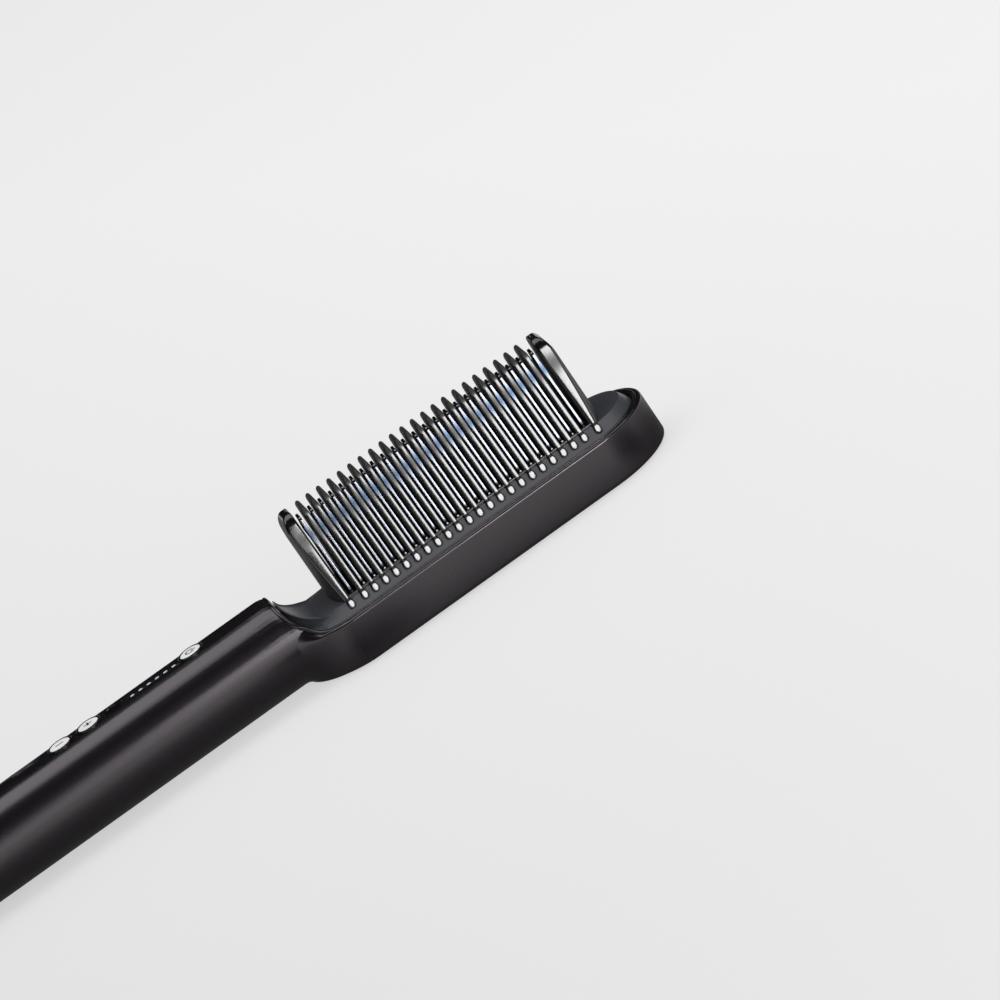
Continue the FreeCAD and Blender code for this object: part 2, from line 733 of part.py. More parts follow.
# ---- heating plate and heater ----
def blade(x):
    """Thin metal blade between two teeth, with a thicker bead near its top."""
    z0, z1 = plate_top - blade_root, pad_z + tooth_height - blade_drop
    foot_z = pad_z + blade_foot
    across = [V(0, -blade_half_base, z0), V(0, blade_half_base, z0), V(0, blade_half_base, foot_z),
              V(0, blade_half_top, z1), V(0, -blade_half_top, z1), V(0, -blade_half_base, foot_z)]
    outline = rounded_outline(across, [0, 0, 0, blade_corner, blade_corner, 0])
    sheet = profile(outline, V(bead_thickness, 0, 0))
    sheet.translate(V(x - bead_thickness / 2, 0, 0))
    thin, thick, reach = blade_thickness / 2, bead_thickness / 2, head_width
    low, high = pad_z + bead_level - bead_height / 2, pad_z + bead_level + bead_height / 2
    middle, near = (low + high) / 2, bead_height / 6
    right = [(thin, z0), (thin, low), (thick, middle - near), (thick, middle + near), (thin, high), (thin, z1)]
    along = [V(x + a, -reach, z) for a, z in right] + [V(x - a, -reach, z) for a, z in reversed(right)]
    return sheet.common(polygon(along, V(0, 2 * reach, 0)))


def blade_places():
    middles = [x + tooth_pitch / 2 for x in tooth_places[:-1]]
    end = row_half + (tooth_thickness / 2 + guard_gap) / 2
    return [comb_shift - end] + middles + [comb_shift + end]


def heating_plate():
    base = box(comb_shift - plate_half_length, comb_shift + plate_half_length,
               -plate_half_width, plate_half_width, plate_bottom, plate_top)
    middle = (plate_bottom + plate_top) / 2
    bosses = [rod_z(boss_dia, clamp_top, middle, x, y) for x, y in boss_places]
    plate = base.multiFuse(bosses + [blade(x) for x in blade_places()])
    through = screw_dia + screw_clearance
    holes = [rod_z(through, plate_bottom - 1, plate_top + 1, x, y) for x, y in comb_screw_places()]
    pilots = [rod_z(screw_dia, clamp_top - 1, plate_bottom, x, y) for x, y in boss_places]
    return plate.cut(Part.makeCompound(holes + pilots))


def heater_strip(low, high, extra=0.0):
    half = heater_half_length + extra
    return box(comb_shift - half, comb_shift + half, -chip_width / 2, chip_width / 2, low, high)


def ptc_chips():
    first = comb_shift - heater_half_length + chip_length / 2
    size = (chip_length, chip_width, chip_thickness)
    return Part.makeCompound([block(size, first + i * (chip_length + chip_gap), 0, upper_electrode)
                              for i in range(chip_count)])


def electrode(low, side):
    """Contact strip with a tab towards the neck on one side."""
    high = low + electrode_thickness
    x1 = comb_shift - heater_half_length
    middle = side * tab_spread
    tab = box(x1 - tab_length, x1 + 1, middle - tab_width / 2, middle + tab_width / 2, low, high)
    return heater_strip(low, high).fuse(tab)


def insulation_films():
    upper = heater_strip(plate_bottom - film_thickness, plate_bottom, film_margin)
    return Part.makeCompound([upper, heater_strip(clamp_top, lower_electrode, film_margin)])


def pressure_plate():
    size = (2 * (plate_half_length - plate_gap), clamp_width, clamp_thickness)
    through = screw_dia + screw_clearance
    holes = [rod_z(through, clamp_bottom - 1, clamp_top + 1, x, y) for x, y in boss_places]
    return block(size, comb_shift, 0, clamp_top).cut(Part.makeCompound(holes))


def thermistor():
    z, half = plate_bottom - thermistor_dia / 2, thermistor_length / 2
    return rod_x(thermistor_dia, comb_shift - half, comb_shift + half, sensor_offset, z)


def thermal_fuse():
    z, half = plate_bottom - fuse_dia / 2, fuse_length / 2
    body = rod_x(fuse_dia, comb_shift - half, comb_shift + half, -sensor_offset, z)
    reach = half + fuse_wire
    return body.fuse(rod_x(fuse_wire_dia, comb_shift - reach, comb_shift + reach, -sensor_offset, z))


def screws(places, seat_z, tip_z):
    """Round-headed screws driven upwards, heads under seat_z."""
    solids = []
    for x, y in places:
        head = rod_z(screw_head_dia, seat_z - screw_head, seat_z, x, y)
        floor = seat_z - screw_head + cross_depth
        one = block((cross_length, cross_width, 2 * cross_depth), x, y, floor)
        other = block((cross_width, cross_length, 2 * cross_depth), x, y, floor)
        shank = rod_z(screw_dia, seat_z - screw_head / 4, tip_z, x, y)
        solids.append(head.cut(one).cut(other).fuse(shank))
    return Part.makeCompound(solids)


# ---- back of the head ----
def panel_stadium(grow, z0, z1):
    half = panel_half_length + grow
    return stadium(-half, half, panel_half_width + grow, z0, z1)


def back_ring():
    """Trim ring with a bevelled face and a ledge inside for the panel."""
    fit = ring_margin + ring_fit
    ring = head_stadium(fit, back_step, ring_top)
    inner = panel_half_length + panel_gap
    bevel = loft(stadium_wire(neck_x + fit, tip_x - fit, head_width / 2 - fit, back_step),
                 stadium_wire(-inner, inner, panel_half_width + panel_gap, back_step + ring_bevel))
    ring = ring.cut(bevel).cut(panel_stadium(panel_gap, 0, panel_thickness))
    return ring.cut(panel_stadium(-ring_seat, 0, ring_top + 1))


def back_panel():
    """Shallow crowned cover with four posts that carry the heat shield."""
    flat = panel_half_length - panel_crown_width
    crown = loft(stadium_wire(-flat, flat, panel_half_width - panel_crown_width, 0),
                 stadium_wire(-panel_half_length, panel_half_length, panel_half_width, panel_crown))
    body = panel_stadium(0, panel_crown, panel_thickness)
    side = panel_half_width - post_inset
    posts = [rod_z(post_dia, panel_crown, shield_level, s * post_spread, t * side)
             for s in (-1, 1) for t in (-1, 1)]
    return crown.multiFuse([body] + posts)


def heat_shield():
    half = plate_half_length + shield_overhang
    return stadium(comb_shift - half, comb_shift + half, panel_half_width - shield_margin,
                   shield_level, shield_level + shield_thickness)


# ---- controls ----
def control_strip():
    """Gloss strip with holes for the buttons, the lights and the lens."""
    strip = stadium(strip_x0, strip_x1, strip_half_width, strip_z, flat_z)
    low, high = strip_z - 1, flat_z + 1
    holes = [rod_z(button_dia + 2 * bore_gap, low, high, x) for x in button_places.values()]
    holes += [rod_z(light_dia + 2 * light_fit, low, high, x) for x in light_places]
    holes.append(rod_z(lens_dia + 2 * light_fit, low, high, lens_x))
    return strip.cut(Part.makeCompound(holes))


def button(x):
    top = flat_z + button_proud
    cap = rod_z(button_dia, strip_z - button_root, top, x)
    cap = cap.makeFillet(button_edge, edges_at_z(cap, top))
    flange = rod_z(button_flange_dia, flange_top - button_flange, flange_top, x)
    stem = rod_z(plunger_dia - 2 * stem_margin, plunger_top, flange_top, x)
    return cap.fuse(flange).fuse(stem)


def switch_plunger(x):
    return rod_z(plunger_dia, plunger_bottom, plunger_top, x)


def tact_switches():
    """Three square cases on the board, each with a well for its plunger."""
    size = (switch_size, switch_size, switch_height)
    well = plunger_dia + 2 * plunger_gap
    return Part.makeCompound([block(size, x, 0, switch_top).cut(rod_z(well, dome_z, switch_top + 1, x))
                              for x in button_places.values()])


def switch_domes():
    return Part.makeCompound([rod_z(plunger_dia, dome_z, dome_z + dome_thickness, x)
                              for x in button_places.values()])


def light_guide():
    """Clear bar under the strip with one pin and one leg for each light."""
    low = board_top + led_height + led_gap
    half = light_bar_width / 2
    bar = box(light_places[-1] - half, light_places[0] + half, -half, half, strip_z - light_bar, strip_z)
    middle = strip_z - light_bar / 2
    pins = [rod_z(light_dia, middle, flat_z, x) for x in light_places]
    legs = [rod_z(light_leg_dia, low, middle, x) for x in light_places]
    return bar.multiFuse(pins + legs)


def board_lights():
    size = (led_length, led_width, led_height)
    return Part.makeCompound([block(size, x, 0, board_top + led_height) for x in light_places])


def status_lens():
    low = board_top + status_led_height + led_gap
    middle = strip_z - lens_lip_thickness / 2
    disc = rod_z(lens_dia, middle, flat_z, lens_x)
    lip = rod_z(lens_dia + 2 * lens_lip, strip_z - lens_lip_thickness, strip_z, lens_x)
    return disc.fuse(lip).fuse(rod_z(lens_leg_dia, low, middle, lens_x))


def status_light():
    size = (status_led_size, status_led_size, status_led_height)
    return block(size, lens_x, 0, board_top + status_led_height)


# ---- circuit board ----
def control_board():
    return box(board_x0, board_x1, -board_half_width, board_half_width, board_z, board_top)


def microcontroller():
    """Flat chip with legs on both long sides, under the board."""
    length, width, height = chip_body
    x = board_x1 - chip_place
    side = width / 2 + chip_leg[1] / 3
    first = x - (chip_legs - 1) * chip_leg_pitch / 2
    legs = [block(chip_leg, first + i * chip_leg_pitch, s * side, board_z)
            for i in range(chip_legs) for s in (-1, 1)]
    return block(chip_body, x, 0, board_z - chip_lift).multiFuse(legs)


def triac():
    """Switching part with its soldered metal tab."""
    x = board_x1 - triac_place
    side = triac_body[1] / 2 + triac_tab[1] / 2
    return block(triac_body, x, 0, board_z).fuse(block(triac_tab, x, side, board_z))


def film_capacitor():
    return block(film_capacitor_body, board_x1 - film_capacitor_place, 0, board_z)


def storage_capacitor():
    x, half = board_x1 - storage_capacitor_place, storage_capacitor_length / 2
    return rod_x(storage_capacitor_dia, x - half, x + half, 0, board_z - storage_capacitor_dia / 2)


def board_fuse():
    """Glass tube fuse with a metal cap on each end."""
    x, half = board_x1 - board_fuse_place, board_fuse_length / 2
    z = board_z - fuse_cap_dia / 2
    caps = [rod_x(fuse_cap_dia, x + s * half - fuse_cap / 2, x + s * half + fuse_cap / 2, 0, z)
            for s in (-1, 1)]
    return rod_x(board_fuse_dia, x - half, x + half, 0, z).multiFuse(caps)


# ---- tail ----
def end_ring():
    """Plated ring with a notch below for the plug's key."""
    ring = rod_x(handle_dia, tail_x, ring_x)
    ends = [e for e in ring.Edges if e.BoundBox.XLength < 1e-4]
    ring = ring.makeChamfer(end_ring_chamfer, ends)
    ring = ring.cut(rod_x(2 * (handle_r - end_ring_wall), tail_x - 1, ring_x + 1))
    half = key_width / 2
    return ring.cut(box(tail_x - 1, ring_x + 1, -half, half, axis_z - handle_dia, axis_z))


def end_plug():
    """Closes the handle's end and carries the swivel on a web."""
    half = key_width / 2 - key_fit
    front = rod_x(2 * (handle_r - end_ring_wall - plug_fit), tail_x + plug_step, ring_x)
    back = rod_x(2 * (bore_r - plug_fit), ring_x, tail_x + plug_length)
    key = box(tail_x + plug_fit, ring_x, -half, half, axis_z - handle_r, axis_z - handle_r / 2)
    key = key.common(rod_x(handle_dia - 2 * plug_fit, tail_x, ring_x))
    mouth = rod_x(neck_dia + 2 * neck_gap, tail_x - 1, neck_floor)
    web = rod_x(spigot_dia + 2 * spigot_gap, neck_floor - 1, web_end + 1)
    room = rod_x(plug_bore_dia, web_end, tail_x + plug_length + 1)
    return front.multiFuse([back, key]).cut(mouth.multiFuse([web, room]))


def swivel_knuckle():
    """Neck in the ring, spigot through the plug and an arm that takes the cord."""
    neck = rod_x(neck_dia, swivel_end, seat_x)
    spigot = rod_x(spigot_dia, seat_x - 1, seat_x + spigot_length)
    arm = rod_y(arm_dia, 0, arm_reach, arm_x, axis_z)
    floor = arm_reach - cord_bore_depth
    cord_bore = rod_y(cord_bore_dia, floor, arm_reach + 1, arm_x, axis_z)
    wire_bore = rod_x(wire_bore_dia, arm_x, seat_x + spigot_length + 1)
    inlet = rod_y(wire_bore_dia, 0, floor + 1, arm_x, axis_z)
    groove = rod_x(clip_dia, clip_x, clip_x + clip_thickness).cut(
        rod_x(groove_dia, clip_x - 1, clip_x + clip_thickness + 1))
    return neck.multiFuse([spigot, arm]).cut(cord_bore.multiFuse([wire_bore, inlet])).cut(groove)


def swivel_washer():
    ring = rod_x(clip_dia, web_end, web_end + washer_thickness)
    return ring.cut(rod_x(spigot_dia + 2 * spigot_gap, web_end - 1, web_end + washer_thickness + 1))


def swivel_clip():
    """Open ring that snaps into the spigot's groove."""
    x0, x1 = clip_x, clip_x + clip_thickness
    ring = rod_x(clip_dia, x0, x1).cut(rod_x(groove_dia, x0 - 1, x1 + 1))
    return ring.cut(box(x0 - 1, x1 + 1, -clip_mouth / 2, clip_mouth / 2, axis_z, axis_z + clip_dia))


def slip_rings():
    half = slip_ring_width / 2
    return Part.makeCompound([rod_x(slip_ring_dia, x - half, x + half).cut(
        rod_x(spigot_dia, x - slip_ring_width, x + slip_ring_width)) for x in slip_ring_places])


def contact_brushes():
    """One sprung contact on each slip ring, on opposite sides."""
    inner, outer = slip_ring_dia / 2 + contact_gap, plug_bore_dia / 2
    size = (contact_length, outer - inner, contact_height)
    middle, top = (inner + outer) / 2, axis_z + contact_height / 2
    room = rod_x(plug_bore_dia, web_end, tail_x + plug_length)
    return Part.makeCompound([block(size, x, side * middle, top).common(room)
                              for x, side in zip(slip_ring_places, (1, -1))])


# ---- leads inside the handle ----
def heater_lead(side):
    """From the board's underside to the face of one electrode's tab."""
    y, r = side * tab_spread, lead_dia / 2
    z = upper_electrode - r if side > 0 else chip_bottom + r
    x, end = board_x1 - lead_inset, comb_shift - heater_half_length - tab_gap
    low = ledge_bottom - lead_sink
    points = [V(x, y, board_z), V(x, y, axis_z - lead_drop), V(neck_x - lead_drop, y, low),
              V(neck_x + lead_run, y, low), V(end - lead_run, y, z), V(end, y, z)]
    return lead(points, lead_dia)


def sensor_lead():
    """From the board's underside to the end of the thermistor."""
    y = tab_spread + (lead_dia + sensor_lead_dia) / 2 + sensor_lead_room
    z = plate_bottom - thermistor_dia / 2
    x, end = board_x1 - sensor_lead_inset, comb_shift - thermistor_length / 2
    low = ledge_bottom - lead_sink
    points = [V(x, y, board_z), V(x, y, axis_z - lead_drop), V(neck_x - lead_drop, y, low),
              V(neck_x + lead_run, y, low), V(end - sensor_lead_run, sensor_offset, z),
              V(end, sensor_offset, z)]
    return lead(points, sensor_lead_dia)


def supply_lead(index, side):
    """From one sprung contact to the board's underside."""
    x0 = slip_ring_places[index] + contact_length / 2
    x1, y = board_x0 + lead_inset, side * (plug_bore_dia / 2 - lead_gap - lead_dia / 2)
    return lead([V(x0, y, axis_z), V(x1, y, axis_z), V(x1, y, board_z)], lead_dia)


os.makedirs("parts", exist_ok=True)
save("body_shell", body_shell())
save("comb_tray", comb_tray())
save("comb_frame", comb_frame())
save("heating_plate", heating_plate())
save("ptc_chips", ptc_chips())
save("upper_electrode", electrode(upper_electrode, 1))
save("lower_electrode", electrode(lower_electrode, -1))
save("insulation_films", insulation_films())
save("pressure_plate", pressure_plate())
save("pressure_screws", screws(boss_places, clamp_bottom, plate_bottom))
save("comb_screws", screws(comb_screw_places(), plate_bottom, pad_z + comb_screw_grip))
save("tray_screws", screws(tray_screw_places(), ledge_bottom, ledge_top + tray_screw_grip))
save("thermistor", thermistor())
save("thermal_fuse", thermal_fuse())
save("heat_shield", heat_shield())
save("back_ring", back_ring())
save("back_panel", back_panel())
save("control_strip", control_strip())
for name, place in button_places.items():
    save(name + "_button", button(place))
    save(name + "_plunger", switch_plunger(place))
save("tact_switches", tact_switches())
save("switch_domes", switch_domes())
save("light_guide", light_guide())
save("board_lights", board_lights())
save("status_lens", status_lens())
save("status_light", status_light())
save("control_board", control_board())
save("microcontroller", microcontroller())
save("triac", triac())
save("film_capacitor", film_capacitor())
save("storage_capacitor", storage_capacitor())
save("board_fuse", board_fuse())
save("end_ring", end_ring())
save("end_plug", end_plug())
save("swivel_knuckle", swivel_knuckle())
save("swivel_washer", swivel_washer())
save("swivel_clip", swivel_clip())
save("slip_rings", slip_rings())
save("contact_brushes", contact_brushes())
save("heater_lead_upper", heater_lead(1))
save("heater_lead_lower", heater_lead(-1))
save("sensor_lead", sensor_lead())
save("supply_lead_left", supply_lead(0, 1))
save("supply_lead_right", supply_lead(1, -1))
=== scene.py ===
"""Looks of the steam hair straightener brush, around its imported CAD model.

Everything is in the CAD's own frame: +X towards the head's tip, +Z the comb side. Camera, floor and
lamps are in metres; finishes and pieces are in millimetres.
"""
import json
import math

import bmesh
import bpy
from mathutils import Matrix, Vector

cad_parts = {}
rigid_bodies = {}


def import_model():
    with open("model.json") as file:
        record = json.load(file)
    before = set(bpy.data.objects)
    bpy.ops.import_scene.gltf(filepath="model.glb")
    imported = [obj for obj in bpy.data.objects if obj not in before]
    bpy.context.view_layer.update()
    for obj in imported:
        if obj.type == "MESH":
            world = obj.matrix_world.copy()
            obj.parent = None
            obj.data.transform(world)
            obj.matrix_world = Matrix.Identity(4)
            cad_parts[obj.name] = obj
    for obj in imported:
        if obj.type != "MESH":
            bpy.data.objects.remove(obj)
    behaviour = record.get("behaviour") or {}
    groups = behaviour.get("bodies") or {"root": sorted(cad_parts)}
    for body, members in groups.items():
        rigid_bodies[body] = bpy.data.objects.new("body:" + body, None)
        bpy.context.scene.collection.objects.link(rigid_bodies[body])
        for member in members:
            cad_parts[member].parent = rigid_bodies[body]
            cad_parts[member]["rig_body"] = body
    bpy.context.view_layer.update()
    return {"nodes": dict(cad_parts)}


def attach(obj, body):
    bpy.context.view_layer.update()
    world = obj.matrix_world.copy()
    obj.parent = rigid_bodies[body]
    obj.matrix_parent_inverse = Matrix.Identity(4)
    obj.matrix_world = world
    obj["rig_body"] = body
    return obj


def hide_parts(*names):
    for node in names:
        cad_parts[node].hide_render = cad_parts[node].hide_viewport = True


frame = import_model()
nodes = frame["nodes"]
scene = bpy.context.scene
MM = 0.001
SIDES = ((1, "near"), (-1, "far"))


def clamped(value):
    """The value, kept between 0 and 1."""
    return min(1.0, max(0.0, value))


def eased(t):
    """A smooth step from 0 to 1 as t goes from 0 to 1."""
    return t * t * (3 - 2 * t)


def half_chord(radius, offset):
    """Half the width of a circle at a distance from its middle, or 0 outside it."""
    return math.sqrt(max(0.0, radius ** 2 - offset ** 2))


# ---- camera: the photograph's view of the comb side ----
TARGET, DISTANCE = Vector((0.0136, 0.0, 0.01195)), 2.564
TURN, TILT, ROLL = math.radians(4), math.radians(17), math.radians(34.32)
forward = Vector((math.cos(TILT) * math.sin(TURN), math.cos(TILT) * math.cos(TURN), -math.sin(TILT)))
level = Vector((math.cos(TURN), -math.sin(TURN), 0))
upright = level.cross(forward)
right = math.cos(ROLL) * level - math.sin(ROLL) * upright
up = math.sin(ROLL) * level + math.cos(ROLL) * upright
camera_data = bpy.data.cameras.new("camera")
camera_data.lens = 300
camera_data.sensor_width = 36
camera_data.clip_end = 60
camera = bpy.data.objects.new("camera", camera_data)
scene.collection.objects.link(camera)
rotation = Matrix((right, up, -forward)).transposed().to_4x4()
camera.matrix_world = Matrix.Translation(TARGET - DISTANCE * forward) @ rotation
scene.camera = camera
scene.view_settings.view_transform = "Standard"


# ---- finishes ----
NOISE_RANGE = (0.3, 0.7)  # most of the noise's values
BROAD_NOISE = 22  # how many times larger the noise in the colour is
SMOOTHEST, RELIEF = 0.02, 0.1  # the least roughness, and the depth of the noise's relief
# the range over which painted shade fades in on the faces that look along the comb
SHADED_FLANK_RANGE = (0.75, 0.97)  # of a normal's part along X


def linear(red, green, blue):
    """A colour given as it shows on a screen, 0 to 255, as scene-linear values."""
    channels = [c / 255 for c in (red, green, blue)]
    return [c / 12.92 if c < 0.04045 else ((c + 0.055) / 1.055) ** 2.4 for c in channels] + [1]


def put(tree, socket, value):
    """Gives an input its value: another node's output, or a constant."""
    if hasattr(value, "is_output"):
        tree.links.new(value, socket)
    else:
        socket.default_value = value


def new_node(tree, kind, **values):
    """A new node; each value goes to the input of that name."""
    made = tree.nodes.new("ShaderNode" + kind)
    for name, value in values.items():
        put(tree, made.inputs[name.replace("_", " ")], value)
    return made


def operate(tree, operation, *operands):
    """A math node's result; each operand is a socket or a number."""
    made = tree.nodes.new("ShaderNodeMath")
    made.operation = operation
    for socket, value in zip(made.inputs, operands):
        put(tree, socket, value)
    return made.outputs[0]


def remap(tree, value, start, end, low=0.0, high=1.0, kind="SMOOTHSTEP"):
    """A change from low to high while value goes from start to end."""
    made = tree.nodes.new("ShaderNodeMapRange")
    made.interpolation_type = kind
    names = ("Value", "From Min", "From Max", "To Min", "To Max")
    for name, number in zip(names, (value, start, end, low, high)):
        put(tree, made.inputs[name], number)
    return made.outputs["Result"]


def blend_in(tree, fac, kind, first, second):
    """Goes from first to second, each a socket or a value, as fac goes from 0 to 1."""
    mix = tree.nodes.new("ShaderNodeMix")
    mix.data_type = kind
    inputs, output = {"FLOAT": ((0, 2, 3), 0), "RGBA": ((0, 6, 7), 2)}[kind]
    for index, value in zip(inputs, (fac, first, second)):
        put(tree, mix.inputs[index], value)
    return mix.outputs[output]


def blend_shaders(tree, fac, first, second):
    """Goes from the first shader to the second as fac goes from 0 to 1."""
    mix = new_node(tree, "MixShader", Fac=fac)
    put(tree, mix.inputs[1], first)
    put(tree, mix.inputs[2], second)
    return mix.outputs["Shader"]


def axes(tree, source):
    """The X, Y and Z of a vector."""
    return new_node(tree, "SeparateXYZ", Vector=source).outputs


def length_of(tree, x, y):
    """The length of the flat vector x, y."""
    squares = [operate(tree, "POWER", operate(tree, "ABSOLUTE", part), 2.0) for part in (x, y)]
    return operate(tree, "SQRT", operate(tree, "ADD", *squares))


def away_from(tree, part, middle):
    """How far one coordinate is from middle millimetres, as a socket in metres."""
    return operate(tree, "ABSOLUTE", operate(tree, "SUBTRACT", part, middle * MM))


def shaded_flank_mask(tree):
    """1 on faces that look along the comb's length, 0 on the edges between them; it places painted shade
    on those faces.
    """
    normal = new_node(tree, "NewGeometry").outputs["Normal"]
    return remap(tree, operate(tree, "ABSOLUTE", axes(tree, normal)["X"]), *SHADED_FLANK_RANGE)


def reflection_band_mask(tree, place, middle, reach):
    """1 at the height middle, falling to 0 at reach above and below it; it places a painted reflection."""
    return remap(tree, away_from(tree, axes(tree, place)["Z"], middle), 0.0, reach * MM, 1.0, 0.0)


def shaded_tip_mask(tree, place, start, end, middle, reach):
    """0 below the height start, 1 above the height end, and 0 beyond reach from middle along X; it places
    painted shade on the teeth's ends.
    """
    part = axes(tree, place)
    within = operate(tree, "LESS_THAN", away_from(tree, part["X"], middle), reach * MM)
    return operate(tree, "MULTIPLY", remap(tree, part["Z"], start * MM, end * MM), within)


finishes = {}


def finish(name, colour, roughness, metallic=0.0, grain=900.0, bump=0.02, vary=0.08, spread=0.05,
           shaded_flank=None, painted_reflection_band=None, shaded_tips=None, **extra):
    """A principled finish with procedural detail; each colour is as it shows on a screen, and flank, band
    and tips paint light and shade into it.

    grain is the noise's scale per metre, bump its strength, vary the share by which the colour
    changes, and spread the range of the roughness. flank is the colour and roughness of the faces
    that look along the comb, a darker colour there that is painted shade; band is a height, a reach, a
    colour and a roughness around it, the colour being a painted reflection; and tips is two heights,
    a middle and a reach along the comb, and the colour and roughness there, a darker colour that is
    painted shade.
    """
    finishes[name] = bpy.data.materials[name]
    tree = finishes[name].node_tree
    tree.nodes.clear()
    place = new_node(tree, "TexCoord").outputs["Object"]
    fine = new_node(tree, "TexNoise", Vector=place, Scale=grain, Detail=4).outputs["Fac"]
    broad = new_node(tree, "TexNoise", Vector=place, Scale=grain / BROAD_NOISE, Detail=3).outputs["Fac"]
    tint = new_node(tree, "ValToRGB", Fac=broad)
    low, high = tint.color_ramp.elements
    low.position, high.position = NOISE_RANGE
    base = linear(*colour)[:3]
    low.color = [c * (1 - vary) for c in base] + [1]
    high.color = [min(1.0, c * (1 + vary)) for c in base] + [1]
    shade = tint.outputs["Color"]
    limits = max(SMOOTHEST, roughness - spread), min(1.0, roughness + spread)
    polish = remap(tree, fine, *NOISE_RANGE, *limits, "LINEAR")
    # Each of these paints shade or a reflection into the colour, with its own roughness.
    painted_light_layers = []
    if painted_reflection_band:
        painted_light_layers.append((reflection_band_mask(tree, place, *painted_reflection_band[:2]), *painted_reflection_band[2:]))
    if shaded_tips:
        painted_light_layers.append((shaded_tip_mask(tree, place, *shaded_tips[:4]), *shaded_tips[4:]))
    if shaded_flank:
        painted_light_layers.append((shaded_flank_mask(tree), *shaded_flank))
    for fac, painted_light_colour, layer_roughness in painted_light_layers:
        shade = blend_in(tree, fac, "RGBA", shade, linear(*painted_light_colour))
        polish = blend_in(tree, fac, "FLOAT", polish, layer_roughness)
    relief = new_node(tree, "Bump", Strength=bump, Distance=RELIEF * MM, Height=fine)
    shader = new_node(tree, "BsdfPrincipled", Base_Color=shade, Metallic=metallic, Roughness=polish,
                      Normal=relief.outputs["Normal"], **extra)
    new_node(tree, "OutputMaterial", Surface=shader.outputs["BSDF"])


finish("shell_black", (14, 11, 14), 0.24, grain=2600, bump=0.03, vary=0.1, spread=0.02,
       IOR=1.95, Specular_Tint=(1.0, 0.93, 0.98, 1.0))
finish("tray_grey", (66, 67, 73), 0.34, grain=2600, bump=0.05)
# comb_black paints light and shade into its colour: darker faces along the comb are painted shade, the
# brownish zone around 40 mm is a painted reflection, and the darker tooth ends are painted shade.
finish("comb_black", (12, 12, 14), 0.14, grain=2200, bump=0.03, IOR=1.9, shaded_flank=((6, 6, 8), 0.62),
       painted_reflection_band=(40.3, 5.2, (26, 22, 21), 0.42), shaded_tips=(45.4, 47.0, 3.25, 43.0, (3, 3, 4), 0.7))
# heating_metal paints light and shade into its colour: darker faces along the comb are painted shade, and
# the bluish zone around the bead is a painted reflection.
finish("heating_metal", (122, 126, 134), 0.2, 1.0, grain=3000, bump=0.04, shaded_flank=((26, 27, 33), 0.6),
       painted_reflection_band=(39.5, 4.4, (60, 74, 92), 0.24))
finish("rose_trim", (224, 150, 202), 0.2, 0.85, grain=2400, bump=0.03)
finish("panel_black", (16, 16, 18), 0.14, grain=2000, Coat_Weight=0.6, Coat_Roughness=0.05)
finish("strip_black", (20, 19, 21), 0.22, grain=2200, bump=0.03)
finish("button_white", (244, 244, 245), 0.35, grain=2600, bump=0.04, vary=0.02)
finish("lens_smoke", (12, 12, 14), 0.08, Coat_Weight=0.5)
finish("chrome_trim", (205, 203, 203), 0.1, 1.0, grain=1800, bump=0.015, vary=0.03)
finish("tail_black", (26, 25, 27), 0.4, grain=2400, bump=0.08)
finish("heater_ceramic", (196, 192, 182), 0.6, grain=3000, bump=0.2)
finish("shield_sheet", (198, 196, 190), 0.55, grain=3500, bump=0.2)
finish("board_green", (30, 92, 52), 0.4, grain=1500, bump=0.1)
finish("light_clear", (205, 205, 210), 0.3, vary=0.03)
for plain in (
        ("electrode_metal", (190, 192, 196), 0.3, 1.0),
        ("insulation_film", (178, 112, 32), 0.35),
        ("clamp_metal", (170, 172, 176), 0.35, 1.0),
        ("screw_metal", (150, 152, 158), 0.3, 1.0),
        ("sensor_glass", (60, 40, 30), 0.2),
        ("fuse_case", (190, 188, 180), 0.4, 0.6),
        ("switch_black", (28, 28, 30), 0.4),
        ("dome_metal", (190, 190, 190), 0.25, 1.0),
        ("lamp_white", (225, 222, 200), 0.4),
        ("part_black", (26, 26, 28), 0.5),
        ("capacitor_case", (196, 156, 40), 0.4),
        ("can_metal", (60, 70, 130), 0.35, 0.5),
        ("fuse_glass", (200, 205, 205), 0.2),
        ("brass_bare", (206, 170, 96), 0.3, 1.0),
        ("lead_red", (170, 28, 26), 0.45),
        ("lead_white", (220, 218, 212), 0.45),
        ("lead_blue", (36, 70, 160), 0.45)):
    finish(*plain)


# ---- floor, lamps and world ----
FLOOR_CORNERS = ((-12, -9), (12, -9), (12, 22), (-12, 22))
FLOOR_Z = -0.0002
# Painted shade on the floor: darker towards the picture's bottom, lighter towards its top.
FLOOR_DARK, FLOOR_LIGHT = linear(227, 227, 227), linear(243, 243, 243)
FADE_AXIS, FADE_END = (0.563, 0.2416, 0), 0.154  # from dark to light, towards the picture's top
STRIP_MIDDLE, STRIP_HALF, DARKEST = -0.075, 0.145, 0.12
# Two distances from the strip, and the strength that is added to the mirror image at each; the weak
# strength close to the strip is painted shadow.
STRIP_NEAR, STRIP_FAR = (0.012, 0.075, DARKEST, 0.75), (0.06, 0.5, 0.0, 0.25)
PAINTED_SHADOW_PATCHES, PATCH_CORE = ((-0.049, -0.05, 0.034), (0.082, -0.045, 0.03)), 0.3
GLOW_SHARE, AMBIENT = 0.7, 0.55
HORIZON, ROOM_DARK, ROOM_RISE = linear(240, 238, 240), (0.006, 0.006, 0.007, 1), 0.2
ROOM_TURN, ROOM_STEEP = 1.8, 2.2  # the room darkens upwards, and faster towards +Y


